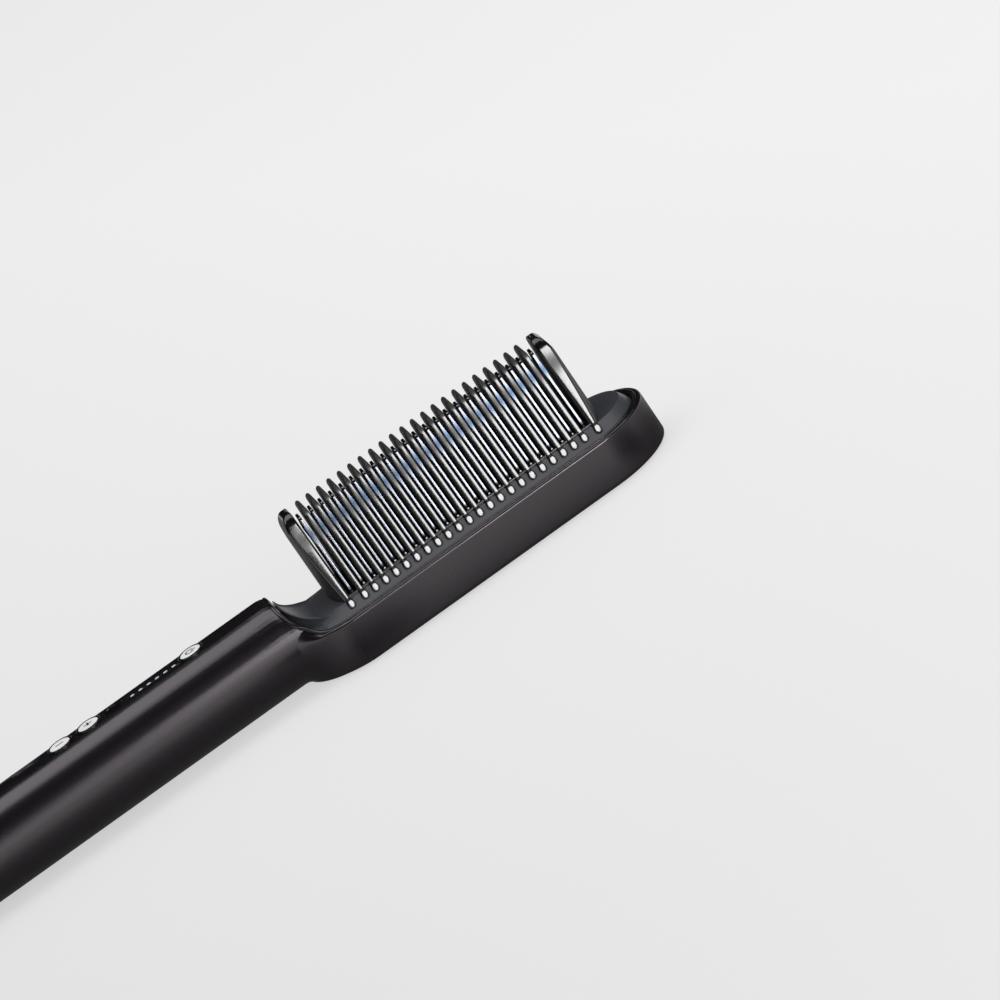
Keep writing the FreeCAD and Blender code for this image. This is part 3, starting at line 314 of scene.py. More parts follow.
def floor_material():
    """A pale floor that partly glows. Its mirror image is dimmer in a strip along the object and in
    two patches beside it, each given by its middle and its reach; this dimming is painted shadow, the
    object's shade on the floor as shiny pieces see it."""
    made = bpy.data.materials.new("pale_floor")
    made.use_nodes = True
    tree = made.node_tree
    tree.nodes.clear()
    place = new_node(tree, "TexCoord").outputs["Object"]
    along = tree.nodes.new("ShaderNodeVectorMath")
    along.operation = "DOT_PRODUCT"
    put(tree, along.inputs[0], place)
    put(tree, along.inputs[1], FADE_AXIS)
    # painted shade: the floor's colour darkens towards the picture's bottom
    fade = remap(tree, along.outputs["Value"], -FADE_END, FADE_END, kind="LINEAR")
    shade = blend_in(tree, fade, "RGBA", FLOOR_DARK, FLOOR_LIGHT)
    part = axes(tree, place)
    from_middle = operate(tree, "ABSOLUTE", operate(tree, "ADD", part["X"], -STRIP_MIDDLE))
    beyond = operate(tree, "MAXIMUM", operate(tree, "SUBTRACT", from_middle, STRIP_HALF), 0.0)
    away = length_of(tree, beyond, part["Y"])
    mirror = operate(tree, "ADD", remap(tree, away, *STRIP_NEAR), remap(tree, away, *STRIP_FAR))
    for x, y, reach in PAINTED_SHADOW_PATCHES:
        gaps = [operate(tree, "SUBTRACT", part[axis], middle) for axis, middle in (("X", x), ("Y", y))]
        dark = remap(tree, length_of(tree, *gaps), PATCH_CORE * reach, reach, DARKEST, 1.0)
        mirror = operate(tree, "MULTIPLY", mirror, dark)
    ray = new_node(tree, "LightPath").outputs
    glossy = ray["Is Glossy Ray"]
    mirrored = operate(tree, "MULTIPLY", glossy, mirror)
    strength = operate(tree, "ADD", mirrored, operate(tree, "SUBTRACT", 1.0, glossy))
    seen = operate(tree, "MAXIMUM", ray["Is Camera Ray"], ray["Is Transmission Ray"])
    share = operate(tree, "MULTIPLY_ADD", seen, GLOW_SHARE, glossy)
    diffuse = new_node(tree, "BsdfDiffuse", Color=shade)
    glow = new_node(tree, "Emission", Color=shade, Strength=strength)
    surface = blend_shaders(tree, share, diffuse.outputs["BSDF"], glow.outputs["Emission"])
    new_node(tree, "OutputMaterial", Surface=surface)
    return made


def light_world():
    """Even light from all around; shiny pieces see a bright horizon that darkens upwards."""
    world = bpy.data.worlds.new("world")
    scene.world = world
    world.use_nodes = True
    tree = world.node_tree
    tree.nodes.clear()
    direction = axes(tree, new_node(tree, "TexCoord").outputs["Generated"])
    slope = operate(tree, "MULTIPLY_ADD", direction["Y"], ROOM_TURN, ROOM_STEEP)
    ramp = new_node(tree, "ValToRGB", Fac=operate(tree, "MULTIPLY", direction["Z"], slope))
    ramp.color_ramp.interpolation = "EASE"
    low, high = ramp.color_ramp.elements
    low.position, low.color = 0.0, HORIZON
    high.position, high.color = ROOM_RISE, ROOM_DARK
    ambient = new_node(tree, "Background", Color=(1, 1, 1, 1), Strength=AMBIENT)
    room = new_node(tree, "Background", Color=ramp.outputs["Color"], Strength=1.0)
    glossy = new_node(tree, "LightPath").outputs["Is Glossy Ray"]
    surface = blend_shaders(tree, glossy, ambient.outputs["Background"], room.outputs["Background"])
    new_node(tree, "OutputWorld", Surface=surface)


def softbox(name, centre, aim, width, height, radiance):
    """An area lamp whose surface has the given radiance."""
    data = bpy.data.lights.new(name, "AREA")
    data.shape = "RECTANGLE"
    data.size, data.size_y = width, height
    data.energy = radiance * width * height * math.pi
    made = bpy.data.objects.new(name, data)
    made.location = centre
    made.rotation_euler = (Vector(aim) - Vector(centre)).to_track_quat("-Z", "Y").to_euler()
    made.visible_camera = False
    scene.collection.objects.link(made)


floor_mesh = bpy.data.meshes.new("floor")
floor_mesh.from_pydata([(x, y, FLOOR_Z) for x, y in FLOOR_CORNERS], [], [(0, 1, 2, 3)])
floor = bpy.data.objects.new("floor", floor_mesh)
scene.collection.objects.link(floor)
floor.data.materials.append(floor_material())
light_world()
softbox("overhead", (0, 0.115, 1.2), (0, 0.115, 0), 2.4, 0.79, 1.3)
softbox("front", (0.33, -1.13, 0.38), (0.02, 0, 0.035), 0.56, 0.32, 9.0)


# ---- pieces: general ----
def finish_mesh(piece):
    """Smooth shading whose flat faces stay flat."""
    for face in piece.data.polygons:
        face.use_smooth = True
    weighted = piece.modifiers.new("weighted", "WEIGHTED_NORMAL")
    weighted.keep_sharp = True


def build(name, points, faces, slot, stands_for=(), body="handle"):
    """A new piece from points in millimetres."""
    mesh = bpy.data.meshes.new(name)
    mesh.from_pydata([Vector(p) * MM for p in points], [], faces)
    mesh.validate()
    shape = bmesh.new()
    shape.from_mesh(mesh)
    bmesh.ops.recalc_face_normals(shape, faces=shape.faces)
    shape.to_mesh(mesh)
    shape.free()
    mesh.materials.append(finishes[slot])
    piece = bpy.data.objects.new(name, mesh)
    scene.collection.objects.link(piece)
    finish_mesh(piece)
    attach(piece, body)
    if stands_for:
        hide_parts(*stands_for)


def joined(parts):
    """Several pairs of points and faces as one."""
    points, faces = [], []
    for some_points, some_faces in parts:
        base = len(points)
        points += some_points
        faces += [tuple(base + i for i in face) for face in some_faces]
    return points, faces


def cells(rows, columns):
    """The faces of a grid of points; rows and columns count its cells."""
    span = columns + 1
    corners = [i * span + j for i in range(rows) for j in range(columns)]
    return [(a, a + 1, a + span + 1, a + span) for a in corners]


# ---- pieces: softened copies of CAD nodes ----
HANDLE_RADIUS, HANDLE_AXIS, HANDLE_TOP = 14.85, 15.5, 31.0
HEAD_RADIUS, END_CENTRE, TIP_CENTRE = 23.0, -45.0, 45.0
# The handle's open end: how far it is lowered, where along X, and from which height upwards.
DROOP, DROOP_START, DROOP_END = 1.35, -67.0, -62.0
DROOP_FOOT, DROOP_RISE = 18.5, 10.5
NECK_CUTS = (-73.0, -70.0, -67.0, -66.0, -65.0, -64.2, -63.5, -62.9)
# The head's neck end: how far its wall moves in, over which angles, radii and heights.
TAPER, TAPER_SWEEP, TAPER_STEEPEST = 1.3, 38, 60
TAPER_CORE, TAPER_REACH, TAPER_TOP = 14.0, 1.6, 15.6
WALL_BAND, SLACK = 0.1, 0.02
BEVEL_SEGMENTS, BEVEL_ANGLE = 2, 32
SAME_PLACE, ON_CUT = 2e-6, 1e-7
BLADES_CUT = 16.45  # the CAD's own blades are above it
DROOPED = ("body_shell", "comb_tray")
TAPERED = ("body_shell", "comb_tray", "back_ring", "back_panel")


def drooped(x, z):
    """Height z after the handle's open end is rounded down towards the tray."""
    t = clamped((x - DROOP_START) / (DROOP_END - DROOP_START))
    return z - DROOP * t * t * eased(clamped((z - DROOP_FOOT) / DROOP_RISE))


def handle_side(z):
    """Half the handle's width at height z."""
    return half_chord(HANDLE_RADIUS, z - HANDLE_AXIS)


def taper_share(angle):
    """1 beside the handle, 0 where the head's sides begin; in degrees from the handle's axis."""
    return eased(clamped((90 - angle) / TAPER_SWEEP))


def tapered(x, y, z):
    """A place in the head's round neck end, moved in so that the head runs leaner into the handle."""
    away = Vector((x - END_CENTRE, y))
    radius = away.length
    outside = HEAD_RADIUS + TAPER_REACH
    if x >= END_CENTRE or not TAPER_CORE < radius < outside or z > TAPER_TOP:
        return x, y
    angle = math.degrees(math.atan2(abs(y), END_CENTRE - x))
    share = TAPER * taper_share(angle)
    on_handle = radius > HEAD_RADIUS + SLACK or abs(y) < handle_side(z) + SLACK
    if radius > HEAD_RADIUS - WALL_BAND and on_handle:
        nearness = min(1.0, (outside - radius) / TAPER_REACH)
        return x + share * nearness / math.cos(math.radians(min(angle, TAPER_STEEPEST))), y
    share *= min(1.0, (radius - TAPER_CORE) / (HEAD_RADIUS - TAPER_CORE))
    moved = away * (1 - share / radius)
    return moved.x + END_CENTRE, moved.y


def softened(name, width, below=None):
    """A copy of a CAD node whose sharp edges are rounded. What is above a height may be left out."""
    node = nodes[name]
    copy = bpy.data.objects.new("soft_" + name, node.data.copy())
    scene.collection.objects.link(copy)
    mesh = bmesh.new()
    mesh.from_mesh(copy.data)
    bmesh.ops.remove_doubles(mesh, verts=mesh.verts, dist=SAME_PLACE)
    if below is not None:
        high = [v for v in mesh.verts if v.co.z > below * MM]
        bmesh.ops.delete(mesh, geom=high, context="VERTS")
    if name in DROOPED:
        for x in NECK_CUTS:
            everything = list(mesh.verts) + list(mesh.edges) + list(mesh.faces)
            bmesh.ops.bisect_plane(mesh, geom=everything, plane_co=(x * MM, 0, 0),
                                   plane_no=(1, 0, 0), dist=ON_CUT)
        for vertex in mesh.verts:
            vertex.co.z = drooped(vertex.co.x / MM, vertex.co.z / MM) * MM
    if name in TAPERED:
        for vertex in mesh.verts:
            x, y = tapered(*(vertex.co / MM))
            vertex.co.x, vertex.co.y = x * MM, y * MM
    mesh.to_mesh(copy.data)
    mesh.free()
    stored_normals = copy.data.attributes.get("custom_normal")
    if stored_normals:
        copy.data.attributes.remove(stored_normals)
    bevel = copy.modifiers.new("bevel", "BEVEL")
    bevel.width = width * MM
    bevel.segments = BEVEL_SEGMENTS
    bevel.limit_method = "ANGLE"
    bevel.angle_limit = math.radians(BEVEL_ANGLE)
    bevel.harden_normals = False
    bevel.use_clamp_overlap = True
    finish_mesh(copy)
    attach(copy, node["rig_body"])
    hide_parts(name)


# ---- pieces: comb and heating blades ----
PAD_Z, PAD_HALF = 18.4, 14.6
PITCH, TEETH, MIDDLE = 3.93, 22, 3.25
ROW_HALF = PITCH * (TEETH - 1) / 2
TOOTH_PLACES = [MIDDLE - ROW_HALF + i * PITCH for i in range(TEETH)]
TOOTH_TOP, TOOTH_TOP_HALF, TOOTH_SHOULDER = 48.5, 5.5, 46.3
TOOTH_HALF, TIP_HALF, TOOTH_CORNER, TOOTH_ROUND = 0.95, 0.3, 2.5, 0.5
GUARD_GAP, GUARD_TOP, GUARD_CORNER = 3.9, 49.1, 4.9
GUARD_FACE = ROW_HALF + GUARD_GAP
# The guards' thickness at the middle, the sides and the top, how far down it narrows, and the edges.
GUARD_THICK, GUARD_EDGE, GUARD_CROWN, GUARD_RISE, GUARD_ROUND = 5.0, 2.2, 1.8, 10.4, 0.9
GUARD_COLUMNS, GUARD_SIDE_SLOPE = 24, 0.957
# Places across the comb are (y, z); the blades have a bead at SWELL_Z.
BLADE_FOOT, BLADE_START, BLADE_TOP = (-10.4, 16.0), (-10.4, 19.6), (-3.0, 45.6)
BLADE_HALF, BLADE_CORNER, BLADE_ROUND = 0.45, 1.5, 0.16
BLADE_SWELL, SWELL_Z, SWELL_REACH = 0.275, 39.5, 4.6
RAIL_IN, RAIL_OUT, RAIL_HEIGHT, RAIL_ROUND, RAIL_OVERHANG = 11.6, 14.2, 1.1, 0.35, 1
ROOT_IN, ROOT_OUT, ROOT_RADIUS = (12.1, 18.7), (16.6, 16.97), 1.2
FOOT, FOOT_RADII, FOOT_FLAT, FOOT_OVERHANG = (16.3, 17.3), (1.3, 1.6, 2.0), 0.95, 1.1
NUB, NUB_RADII, NUB_FLAT = (12.6, 19.3), (0.66, 0.66, 0.8), 0.42
NOSE, NOSE_FLATNESS = Vector((0.08, 0.953, 0.292)), 0.9  # the way the feet's flat facets look
TOP_GAP, BELOW_PAD = 0.3, 0.1
# Steps in an outline's corner and round an edge, sides of a round rod, the share of a plate's half
# thickness that an edge may take, and how deep the middle of a quarter circle cuts into its corner.
TURN_STEPS, EDGE_STEPS, ROD_SIDES, ROUND_LIMIT, ARC_CUT = 6, 3, 16, 0.9, 0.3


def side_points(foot, start, top, corner, steps):
    """Left half of an outline across the comb, from its foot to the middle of its top, as (y, z)."""
    low, tip = Vector(start), Vector(top)
    before, after = (low - tip).normalized(), Vector((1, 0))
    half = before.angle(after) / 2
    reach = corner / math.tan(half)
    middle = (before + after).normalized()
    centre = tip + middle * corner / math.sin(half)
    first, last = tip + before * reach - centre, tip + after * reach - centre
    points = [Vector(p) for p in foot]
    points += [low.lerp(tip + before * reach, i / steps) for i in range(steps)]
    sweep = first.angle(last)
    for i in range(TURN_STEPS + 1):
        a = sweep * i / TURN_STEPS
        points.append(centre + Vector((first.x * math.cos(a) + first.y * math.sin(a),
                                       first.y * math.cos(a) - first.x * math.sin(a))))
    points.append(Vector((-TOP_GAP, tip.y)))
    return points


def plate_mesh(x, left, half_at, corner):
    """A plate across the comb with rounded edges; half_at gives half its thickness at a height."""
    outline = left + [Vector((-p.x, p.y)) for p in reversed(left)]
    count = len(outline)
    points = []
    for i, p in enumerate(outline):
        along = outline[min(i + 1, count - 1)] - outline[max(i - 1, 0)]
        inward = Vector((along.y, -along.x)).normalized()
        half = half_at(p.y)
        r = min(corner, ROUND_LIMIT * half)
        row = []
        for j in range(EDGE_STEPS + 1):
            a = math.pi / 2 * j / EDGE_STEPS
            row.append((half - r + r * math.cos(a), r - r * math.sin(a)))
        row = [(-dx, inset) for dx, inset in row] + list(reversed(row))
        for dx, inset in row:
            q = p + inward * inset
            points.append((x + dx, q.x, q.y))
    width = 2 * (EDGE_STEPS + 1)
    faces = cells(count - 1, width - 1)
    for i in range(count // 2 - 1):
        k = count - 1 - i
        faces.append((i * width, (i + 1) * width, (k - 1) * width, k * width))
        e = width - 1
        faces.append((k * width + e, (k - 1) * width + e, (i + 1) * width + e, i * width + e))
    return points, faces


def tooth_half(z):
    """Half a tooth's thickness, rounded off towards its tip."""
    rise = max(0.0, z - TOOTH_SHOULDER) / (TOOTH_TOP - TOOTH_SHOULDER)
    return TIP_HALF + (TOOTH_HALF - TIP_HALF) * half_chord(1, rise)


def blade_half(z):
    """Half a blade's thickness, with a bead below its top."""
    swell = min(1.0, abs(z - SWELL_Z) / SWELL_REACH)
    return BLADE_HALF + BLADE_SWELL * (0.5 + 0.5 * math.cos(math.pi * swell))


def ball(centre, radii, front, flat, rings, around):
    """An egg whose nose, beyond the distance flat along front, is nearly flat."""
    centre, points, faces = Vector(centre), [], []
    for i in range(rings + 1):
        a = math.pi * i / rings
        for j in range(around):
            b = 2 * math.pi * j / around
            p = Vector((radii[0] * math.sin(a) * math.cos(b), radii[1] * math.sin(a) * math.sin(b),
                        radii[2] * math.cos(a)))
            over = p.dot(front) - flat
            if over > 0:
                p -= front * over * NOSE_FLATNESS
            points.append(tuple(centre + p))
    for i in range(rings):
        for j in range(around):
            k = (j + 1) % around
            faces.append((i * around + j, (i + 1) * around + j, (i + 1) * around + k, i * around + k))
    return points, faces


def rod(start, end, radius):
    """A round rod with open ends, across the comb's length."""
    start, end = Vector(start), Vector(end)
    axis = (end - start).normalized()
    side = axis.cross(Vector((1, 0, 0))).normalized()
    over = axis.cross(side)
    points, faces = [], []
    for p in (start, end):
        for j in range(ROD_SIDES):
            b = 2 * math.pi * j / ROD_SIDES
            points.append(tuple(p + radius * (math.cos(b) * side + math.sin(b) * over)))
    for j in range(ROD_SIDES):
        k = (j + 1) % ROD_SIDES
        faces.append((j, k, ROD_SIDES + k, ROD_SIDES + j))
    return points, faces


def rail(y0, y1):
    """A rounded strip along the pad's edge."""
    half_length, z0, z1, r = GUARD_FACE + RAIL_OVERHANG, PAD_Z - BELOW_PAD, PAD_Z + RAIL_HEIGHT, RAIL_ROUND
    cut = ARC_CUT * r
    outline = [(y0, z0), (y0, z1 - r), (y0 + cut, z1 - cut), (y0 + r, z1),
               (y1 - r, z1), (y1 - cut, z1 - cut), (y1, z1 - r), (y1, z0)]
    points = [(x, y, z) for x in (MIDDLE - half_length, MIDDLE + half_length) for y, z in outline]
    return points, cells(1, len(outline) - 1)


def guard_mesh(outward):
    """An end guard: flat inner face, convex outer face, rounded shoulder and edges."""
    left = side_points([], (-PAD_HALF, PAD_Z), (-TOOTH_TOP_HALF, GUARD_TOP), GUARD_CORNER, steps=26)
    belly = GUARD_THICK - GUARD_EDGE
    bow = PAD_HALF ** 2 / (2 * belly) + belly / 2
    outer, inner = [], []
    for p in left:
        top = left[-1].y - p.y
        for j in range(GUARD_COLUMNS + 1):
            t = math.sin(math.pi / 2 * (2 * j / GUARD_COLUMNS - 1))
            y = p.x * -t
            plan = GUARD_THICK - bow + half_chord(bow, y)
            rise = max(0.0, p.y - (GUARD_TOP - GUARD_RISE)) / GUARD_RISE
            side = GUARD_CROWN + (GUARD_THICK - GUARD_CROWN) * half_chord(1, rise)
            full = min(plan, side)
            near = min((abs(p.x) - abs(y)) * GUARD_SIDE_SLOPE, top)
            short = max(0.0, GUARD_ROUND - near)
            soft = GUARD_ROUND - half_chord(GUARD_ROUND, short)
            outer.append((full - soft, y, p.y))
            inner.append((min(soft, full / 2), y, p.y))
    rows, span = len(left), GUARD_COLUMNS + 1
    under = rows * span
    faces = []
    for a, b, c, d in cells(rows - 1, GUARD_COLUMNS):
        faces += [(a, b, c, d), (a + under, d + under, c + under, b + under)]
    for i in range(rows - 1):
        a, b = i * span, i * span + GUARD_COLUMNS
        faces += [(a, a + span, a + span + under, a + under), (b, b + under, b + span + under, b + span)]
    for a in range((rows - 1) * span, under - 1):
        faces.append((a, a + 1, a + 1 + under, a + under))
    face = MIDDLE + outward * GUARD_FACE
    return [(face + outward * dx, y, z) for dx, y, z in outer + inner], faces


def comb_place(x, side, place):
    """A place at x and on one side of the comb, given as (y, z)."""
    return (x, side * place[0], place[1])


tooth_start, tooth_tip = (-PAD_HALF, PAD_Z - BELOW_PAD), (-TOOTH_TOP_HALF, TOOTH_TOP)
tooth_left = side_points([], tooth_start, tooth_tip, TOOTH_CORNER, steps=8)
comb_parts = [plate_mesh(x, tooth_left, tooth_half, TOOTH_ROUND) for x in TOOTH_PLACES]
comb_parts += [guard_mesh(-1), guard_mesh(1), rail(-RAIL_OUT, -RAIL_IN), rail(RAIL_IN, RAIL_OUT)]
foot_reach = GUARD_FACE + FOOT_OVERHANG
fronts = {s: Vector((NOSE.x, s * NOSE.y, NOSE.z)) for s in (-1, 1)}
for x in TOOTH_PLACES + [MIDDLE - foot_reach, MIDDLE + foot_reach]:
    for s, front in fronts.items():
        comb_parts.append(rod(comb_place(x, s, ROOT_IN), comb_place(x, s, ROOT_OUT), ROOT_RADIUS))
        foot = comb_place(x, s, FOOT)
        comb_parts.append(ball(foot, FOOT_RADII, front, FOOT_FLAT, rings=14, around=24))
for x in TOOTH_PLACES[:-1]:
    for s, front in fronts.items():
        nub = comb_place(x + PITCH / 2, s, NUB)
        comb_parts.append(ball(nub, NUB_RADII, front, NUB_FLAT, rings=10, around=16))
build("comb", *joined(comb_parts), "comb_black", ("comb_frame",))

blade_left = side_points([BLADE_FOOT], BLADE_START, BLADE_TOP, BLADE_CORNER, steps=22)
blade_end = ROW_HALF + (TOOTH_HALF + GUARD_GAP) / 2
blade_places = [MIDDLE - blade_end] + [x + PITCH / 2 for x in TOOTH_PLACES[:-1]] + [MIDDLE + blade_end]
blade_parts = [plate_mesh(x, blade_left, blade_half, BLADE_ROUND) for x in blade_places]
build("blades", *joined(blade_parts), "heating_metal")


# ---- pieces: lip of the shell and edge of the tray's tongue ----
MOUTH_X, MOUTH_RADIUS, MOUTH_TOP, MOUTH_CROWN = -43.36, 20.0, 28.75, 35
BORE_MIDDLE = 14.3
LIP_WIDE, LIP_HIGH = 1.15, 0.7
CROWN_BACK, CROWN_NARROWER, CROWN_HIGHER = 0.1, 0.5, 0.35  # the lip's changes at the handle's top
RIM_RADIUS, RIM_TOP, RIM_SIZE = 21.0, 15.42, (0.5, 0.4)
LEVEL_END, LEVEL_REACH = 15.6, 2.0
SHOULDER = [(-58.9, -14.6, 19.0), (-57.8, -15.6, 17.75), (-56.6, -16.8, 16.7), (-55.3, -18.0, 16.05),
            (-53.9, -19.1, 15.65), (-52.2, -20.0, 15.48)]
SHOULDER_SIZES = [(1.0, 0.65), (0.9, 0.6), (0.8, 0.55), (0.72, 0.5), (0.64, 0.45), (0.56, 0.42)]
TONGUE = [(-61.9, -0.6, 29.0), (-61.67, -1.63, 28.55), (-61.1, -3.82, 26.3), (-60.04, -5.99, 23.97),
          (-58.42, -8.12, 21.76), (-56.16, -10.16, 19.78), (-53.1, -12.05, 18.23), (-50.4, -13.2, 17.6),
          (-48.2, -13.8, 17.4)]
TONGUE_BEAD, BEAD_SIDES = 0.34, 12


def smooth_path(marks, steps):
    """Points on a Catmull-Rom curve through the marks, each a tuple of numbers."""
    points = []
    for i in range(1, len(marks) - 2):
        a, b, c, d = (Vector(marks[i + k]) for k in (-1, 0, 1, 2))
        for j in range(steps):
            t = j / steps
            points.append(0.5 * (2 * b + (c - a) * t + (2 * a - 5 * b + 4 * c - d) * t ** 2
                                 + (3 * b - a - 3 * c + d) * t ** 3))
    return points


def bead(stations, closed):
    """A rounded strip; each station is a centre, an outward direction, and half its width and height."""
    points, faces = [], []
    count = len(stations)
    for i, (centre, outward, wide, high) in enumerate(stations):
        after = stations[(i + 1) % count][0] if closed or i < count - 1 else centre
        before = stations[i - 1][0] if closed or i else centre
        along = (after - before).normalized()
        across = along.cross(outward).normalized()
        out = across.cross(along).normalized()
        for j in range(BEAD_SIDES):
            b = 2 * math.pi * j / BEAD_SIDES
            points.append(centre + wide * math.cos(b) * across + high * math.sin(b) * out)
    for i in range(count if closed else count - 1):
        first, second = i * BEAD_SIDES, (i + 1) % count * BEAD_SIDES
        for j in range(BEAD_SIDES):
            m = (j + 1) % BEAD_SIDES
            faces.append((first + j, second + j, second + m, first + m))
    if not closed:
        last = (count - 1) * BEAD_SIDES
        faces += [tuple(range(BEAD_SIDES)), tuple(range(last, last + BEAD_SIDES))]
    return points, faces


def mouth_mark(angle):
    """The middle of the shell's cut wall, in degrees from the handle's top, and the lip's size there."""
    a = math.radians(angle)
    y, z = -BORE_MIDDLE * math.sin(a), min(HANDLE_AXIS + BORE_MIDDLE * math.cos(a), MOUTH_TOP)
    x = MOUTH_X - half_chord(MOUTH_RADIUS, HANDLE_TOP - z)
    top = max(0.0, 1 - abs(angle) / MOUTH_CROWN)
    wide, high = LIP_WIDE - CROWN_NARROWER * top, LIP_HIGH + CROWN_HIGHER * top
    return (x - CROWN_BACK * top, y, drooped(x, z), wide, high)


marks = [mouth_mark(angle) for angle in range(-8, 73, 8)]
marks += [place + size for place, size in zip(SHOULDER, SHOULDER_SIZES)]
rim = [(END_CENTRE - RIM_RADIUS * math.cos(a), -RIM_RADIUS * math.sin(a))
       for a in (math.radians(80), math.radians(90))]
rim += [(x, -RIM_RADIUS) for x in (-30, 0, 30, TIP_CENTRE)]
rim += [(TIP_CENTRE + RIM_RADIUS * math.sin(a), -RIM_RADIUS * math.cos(a))
        for a in map(math.radians, range(10, 101, 10))]
marks += [place + (RIM_TOP,) + RIM_SIZE for place in rim]
centres = smooth_path([mark[:3] for mark in marks], 5)
sizes = smooth_path([mark[3:] for mark in marks], 5)
half_loop = list(zip(centres, sizes))
loop = half_loop + [(Vector((c.x, -c.y, c.z)), size) for c, size in reversed(half_loop[1:-1])]
stations = []
for centre, size in loop:
    hollow = Vector((MOUTH_X - centre.x, 0, HANDLE_TOP - centre.z)) / MOUTH_RADIUS
    lift = clamped((centre.z - LEVEL_END) / LEVEL_REACH)
    outward = (hollow * lift + Vector((0, 0, 1)) * (1 - lift)).normalized()
    stations.append((centre, outward, size.x, size.y))
build("shell_lip", *bead(stations, True), "shell_black")

for side, where in SIDES:
    line = smooth_path([(x, side * y, drooped(x, z)) for x, y, z in TONGUE], 6)
    count = len(line)
    outward = Vector((0.5, -0.8 * side, 0.5)).normalized()
    stations = []
    for i, centre in enumerate(line):  # the bead thins out towards both ends
        size = TONGUE_BEAD * min(1.0, 0.25 + 3 * (count - 1 - i) / count, 0.5 + 4 * i / count)
        stations.append((centre, outward, size, size))
    build("tongue_edge_" + where, *bead(stations, False), "tray_grey")


# ---- pieces: the hollow between handle and head, and the tray's corners ----
BOTTOM_ROUND, BOTTOM_Z, ROUNDS = 1.6, 1.9, 12
HOLLOW_REACH, HOLLOW_INSET = 7.0, 0.05
WALL_TOP, WALL_LOW, UPPER_ROWS, LOWER_ROWS = 14.5, 1.0, 6, 14
WEB_DEPTH, CORNER_DEPTH = (0.4, 1.2, 0), (0, 0.3, -1.3)
EDGE = ([(-76.0, -14.78, 15.8), (-73.0, -14.76, 16.2), (-70.0, -14.68, 17.0), (-67.0, -14.5, 18.0),
         (-64.0, -14.2, 19.2), (-61.5, -13.95, 19.9), (-60.0, -14.05, 19.7)] + SHOULDER
        + [(-50.2, -20.7, 15.4), (-48.0, -21.0, 15.35), (-46.0, -21.0, 15.35)])
CORNER = [[(-58.3, -12.5, 17.1), (-56.0, -12.5, 16.75), (-53.6, -12.4, 16.72)],
          [(-57.4, -13.7, 16.7), (-55.7, -14.1, 16.4), (-53.6, -14.0, 16.2)],
          [(-56.6, -14.7, 16.3), (-55.4, -15.5, 16.0), (-53.5, -15.7, 15.66)],
          [(-57.5, -15.5, 17.4), (-55.9, -17.2, 16.2), (-53.8, -18.9, 15.5)]]


def sided(place, side):
    """A place or direction, mirrored to the far side where side is -1."""
    return (place[0], side * place[1], place[2])


def patch(rows, depth):
    """A closed skin over a grid of points, with its underside moved by depth."""
    columns = len(rows[0])
    top = [Vector(p) for row in rows for p in row]
    points = top + [p + Vector(depth) for p in top]
    under, faces = len(top), []
    for a, b, c, d in cells(len(rows) - 1, columns - 1):
        faces += [(a, b, c, d), (under + a, under + d, under + c, under + b)]
    border = list(range(columns)) + [i * columns + columns - 1 for i in range(1, len(rows))]
    border += [(len(rows) - 1) * columns + j for j in range(columns - 2, -1, -1)]
    border += [i * columns for i in range(len(rows) - 2, 0, -1)]
    for i, a in enumerate(border):
        b = border[(i + 1) % len(border)]
        faces.append((a, b, b + under, a + under))
    return points, faces


def head_side(x, z):
    """Half the width of the head's tapered neck end at x, with its rounded bottom edge."""
    radius = HEAD_RADIUS
    for _ in range(ROUNDS):
        cosine = min(1.0, max(-1.0, (END_CENTRE - x) / radius))
        radius = HEAD_RADIUS - TAPER * taper_share(math.degrees(math.acos(cosine)))
    low = min(BOTTOM_ROUND, max(0.0, BOTTOM_Z - z))
    radius -= BOTTOM_ROUND - half_chord(BOTTOM_ROUND, low)
    return half_chord(radius, x - END_CENTRE)


def neck_side(x, z):
    """Half the width of handle and head, run into each other by a wide hollow."""
    tube, head = handle_side(z), head_side(x, z)
    close = max(0.0, 1 - abs(tube - head) / HOLLOW_REACH)
    return max(tube, head) + HOLLOW_REACH * close ** 3 / 6 - HOLLOW_INSET


def web_row(mark, side):
    """Places down the hollow's wall, from a mark on its upper edge to the bottom."""
    row = []
    foot = neck_side(mark.x, WALL_TOP) - handle_side(WALL_TOP)
    head = -mark.y - handle_side(mark.z)
    for j in range(UPPER_ROWS):
        t = 1 - j / UPPER_ROWS
        z = WALL_TOP + (mark.z - WALL_TOP) * t
        row.append((mark.x, -side * (handle_side(z) + foot + (head - foot) * eased(t)), z))
    for j in range(LOWER_ROWS + 1):
        z = WALL_TOP + (WALL_LOW - WALL_TOP) * j / LOWER_ROWS
        row.append((mark.x, -side * neck_side(mark.x, z), z))
    return row


for side, where in SIDES:
    rows = [web_row(mark, side) for mark in smooth_path(EDGE, 3)]
    build("neck_web_" + where, *patch(rows, sided(WEB_DEPTH, side)), "shell_black")
    rows = [[sided(place, side) for place in row] for row in CORNER]
    build("tray_corner_" + where, *patch(rows, sided(CORNER_DEPTH, side)), "tray_grey")


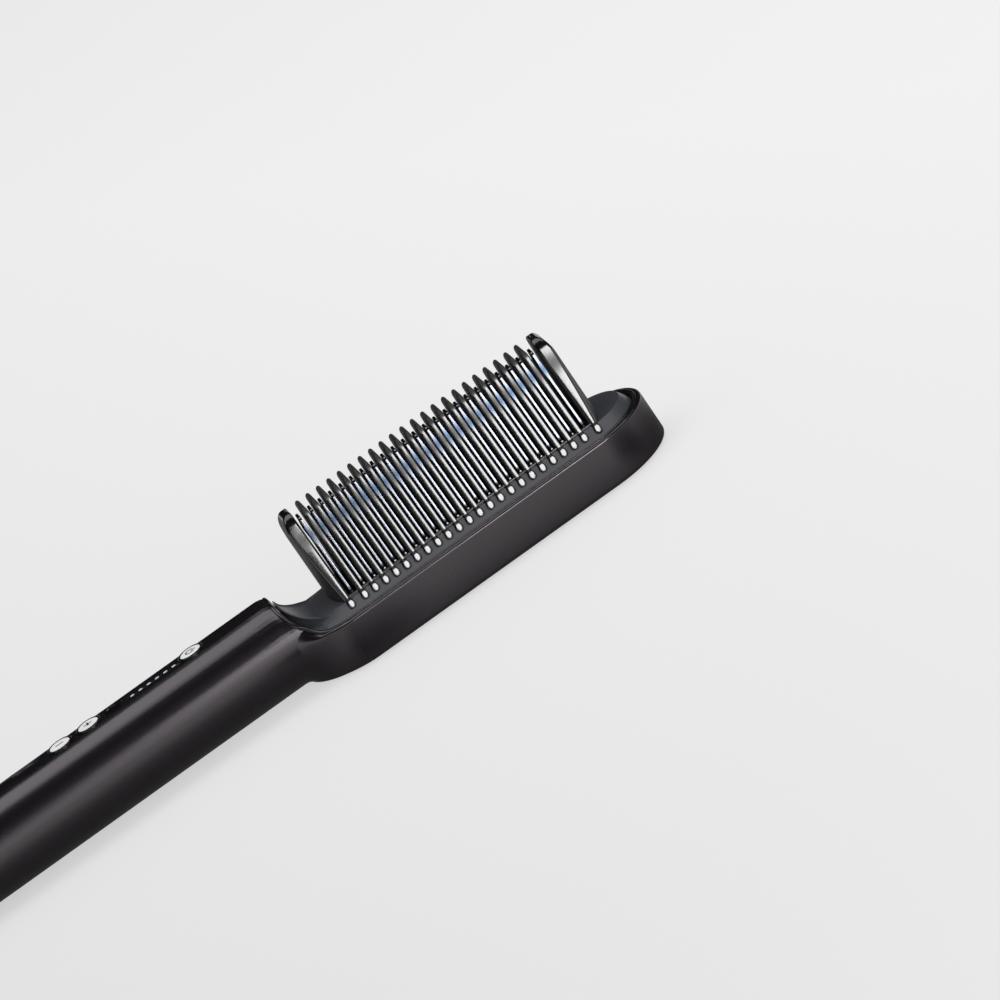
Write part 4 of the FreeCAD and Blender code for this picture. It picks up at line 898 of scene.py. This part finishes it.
# ---- pieces: button collars, symbols and the lens rim ----
STRIP_Z, BUTTON_TOP, LENS_PLACE = 28.4, 30.2, -120.6
BUTTON_PLACES = {"power_button": -91.3, "plus_button": -129.6, "minus_button": -140.2}
SUNK = STRIP_Z - 0.05
COLLAR = [(3.7, SUNK), (3.7, 29.95), (3.85, 30.16), (4.1, 30.22), (4.35, 30.12), (4.52, 29.85),
          (4.58, SUNK)]
LENS_RIM = [(3.0, SUNK), (3.0, 29.2), (3.08, 29.32), (3.24, 29.32), (3.34, 29.2), (3.4, SUNK)]
INK_LOW, INK_HIGH, INK_SLOPE, INK, STROKE = BUTTON_TOP - 0.03, BUTTON_TOP + 0.04, 0.03, 0.5, 2.8
ARC_IN, ARC_OUT, ARC_START, ARC_SWEEP = 1.2, 1.65, 40, 280
BAR_AWAY, BAR_LENGTH = 1.2, 1.5


def ring(x, profile, around=48, start=0.0, sweep=360.0):
    """A turned ring about the vertical line through x; profile is a closed loop of (radius, z)."""
    closed = sweep == 360.0
    rows = around if closed else around + 1
    points, faces = [], []
    for i in range(rows):
        a = math.radians(start + sweep * i / around)
        points += [(x + r * math.cos(a), r * math.sin(a), z) for r, z in profile]
    count = len(profile)
    for i in range(around):
        for j in range(count):
            k, m = (j + 1) % count, (i + 1) % rows
            faces.append((i * count + j, m * count + j, m * count + k, i * count + k))
    if not closed:
        faces += [tuple(range(count)), tuple(range(around * count, (around + 1) * count))[::-1]]
    return points, faces


def stroke(x, length_x, length_y):
    """A raised bar of ink with sloping sides."""
    points = []
    for z, grow in ((INK_LOW, INK_SLOPE), (INK_HIGH, 0.0)):
        hx, hy = length_x / 2 + grow, length_y / 2 + grow
        points += [(x - hx, -hy, z), (x + hx, -hy, z), (x + hx, hy, z), (x - hx, hy, z)]
    faces = [(0, 1, 2, 3), (4, 5, 6, 7)] + [(i, (i + 1) % 4, (i + 1) % 4 + 4, i + 4) for i in range(4)]
    return points, faces


for name, x in BUTTON_PLACES.items():
    build(name + "_collar", *ring(x, COLLAR), "strip_black")
build("lens_rim", *ring(LENS_PLACE, LENS_RIM), "tray_grey")
x = BUTTON_PLACES["plus_button"]
plus_parts = [stroke(x, STROKE, INK), stroke(x, INK, STROKE)]
build("plus_symbol", *joined(plus_parts), "part_black", (), "plus_button")
x = BUTTON_PLACES["minus_button"]
build("minus_symbol", *stroke(x, STROKE, INK), "part_black", (), "minus_button")
x = BUTTON_PLACES["power_button"]
arc_profile = [(ARC_IN, INK_LOW), (ARC_IN, INK_HIGH), (ARC_OUT, INK_HIGH), (ARC_OUT, INK_LOW)]
power_parts = [ring(x, arc_profile, 36, ARC_START, ARC_SWEEP),
               stroke(x + BAR_AWAY, BAR_LENGTH, INK)]
build("power_symbol", *joined(power_parts), "part_black", (), "power_button")


# ---- the softened copies, with how wide their edges are rounded ----
for name, width in {
    "body_shell": 0.3,
    "comb_tray": 0.25,
    "back_ring": 0.2,
    "back_panel": 0.25,
    "control_strip": 0.12,
    "power_button": 0.2,
    "plus_button": 0.2,
    "minus_button": 0.2,
    "status_lens": 0.12,
    "end_ring": 0.3,
    "end_plug": 0.2,
    "swivel_knuckle": 0.3,
}.items():
    softened(name, width)
softened("heating_plate", 0.2, below=BLADES_CUT)
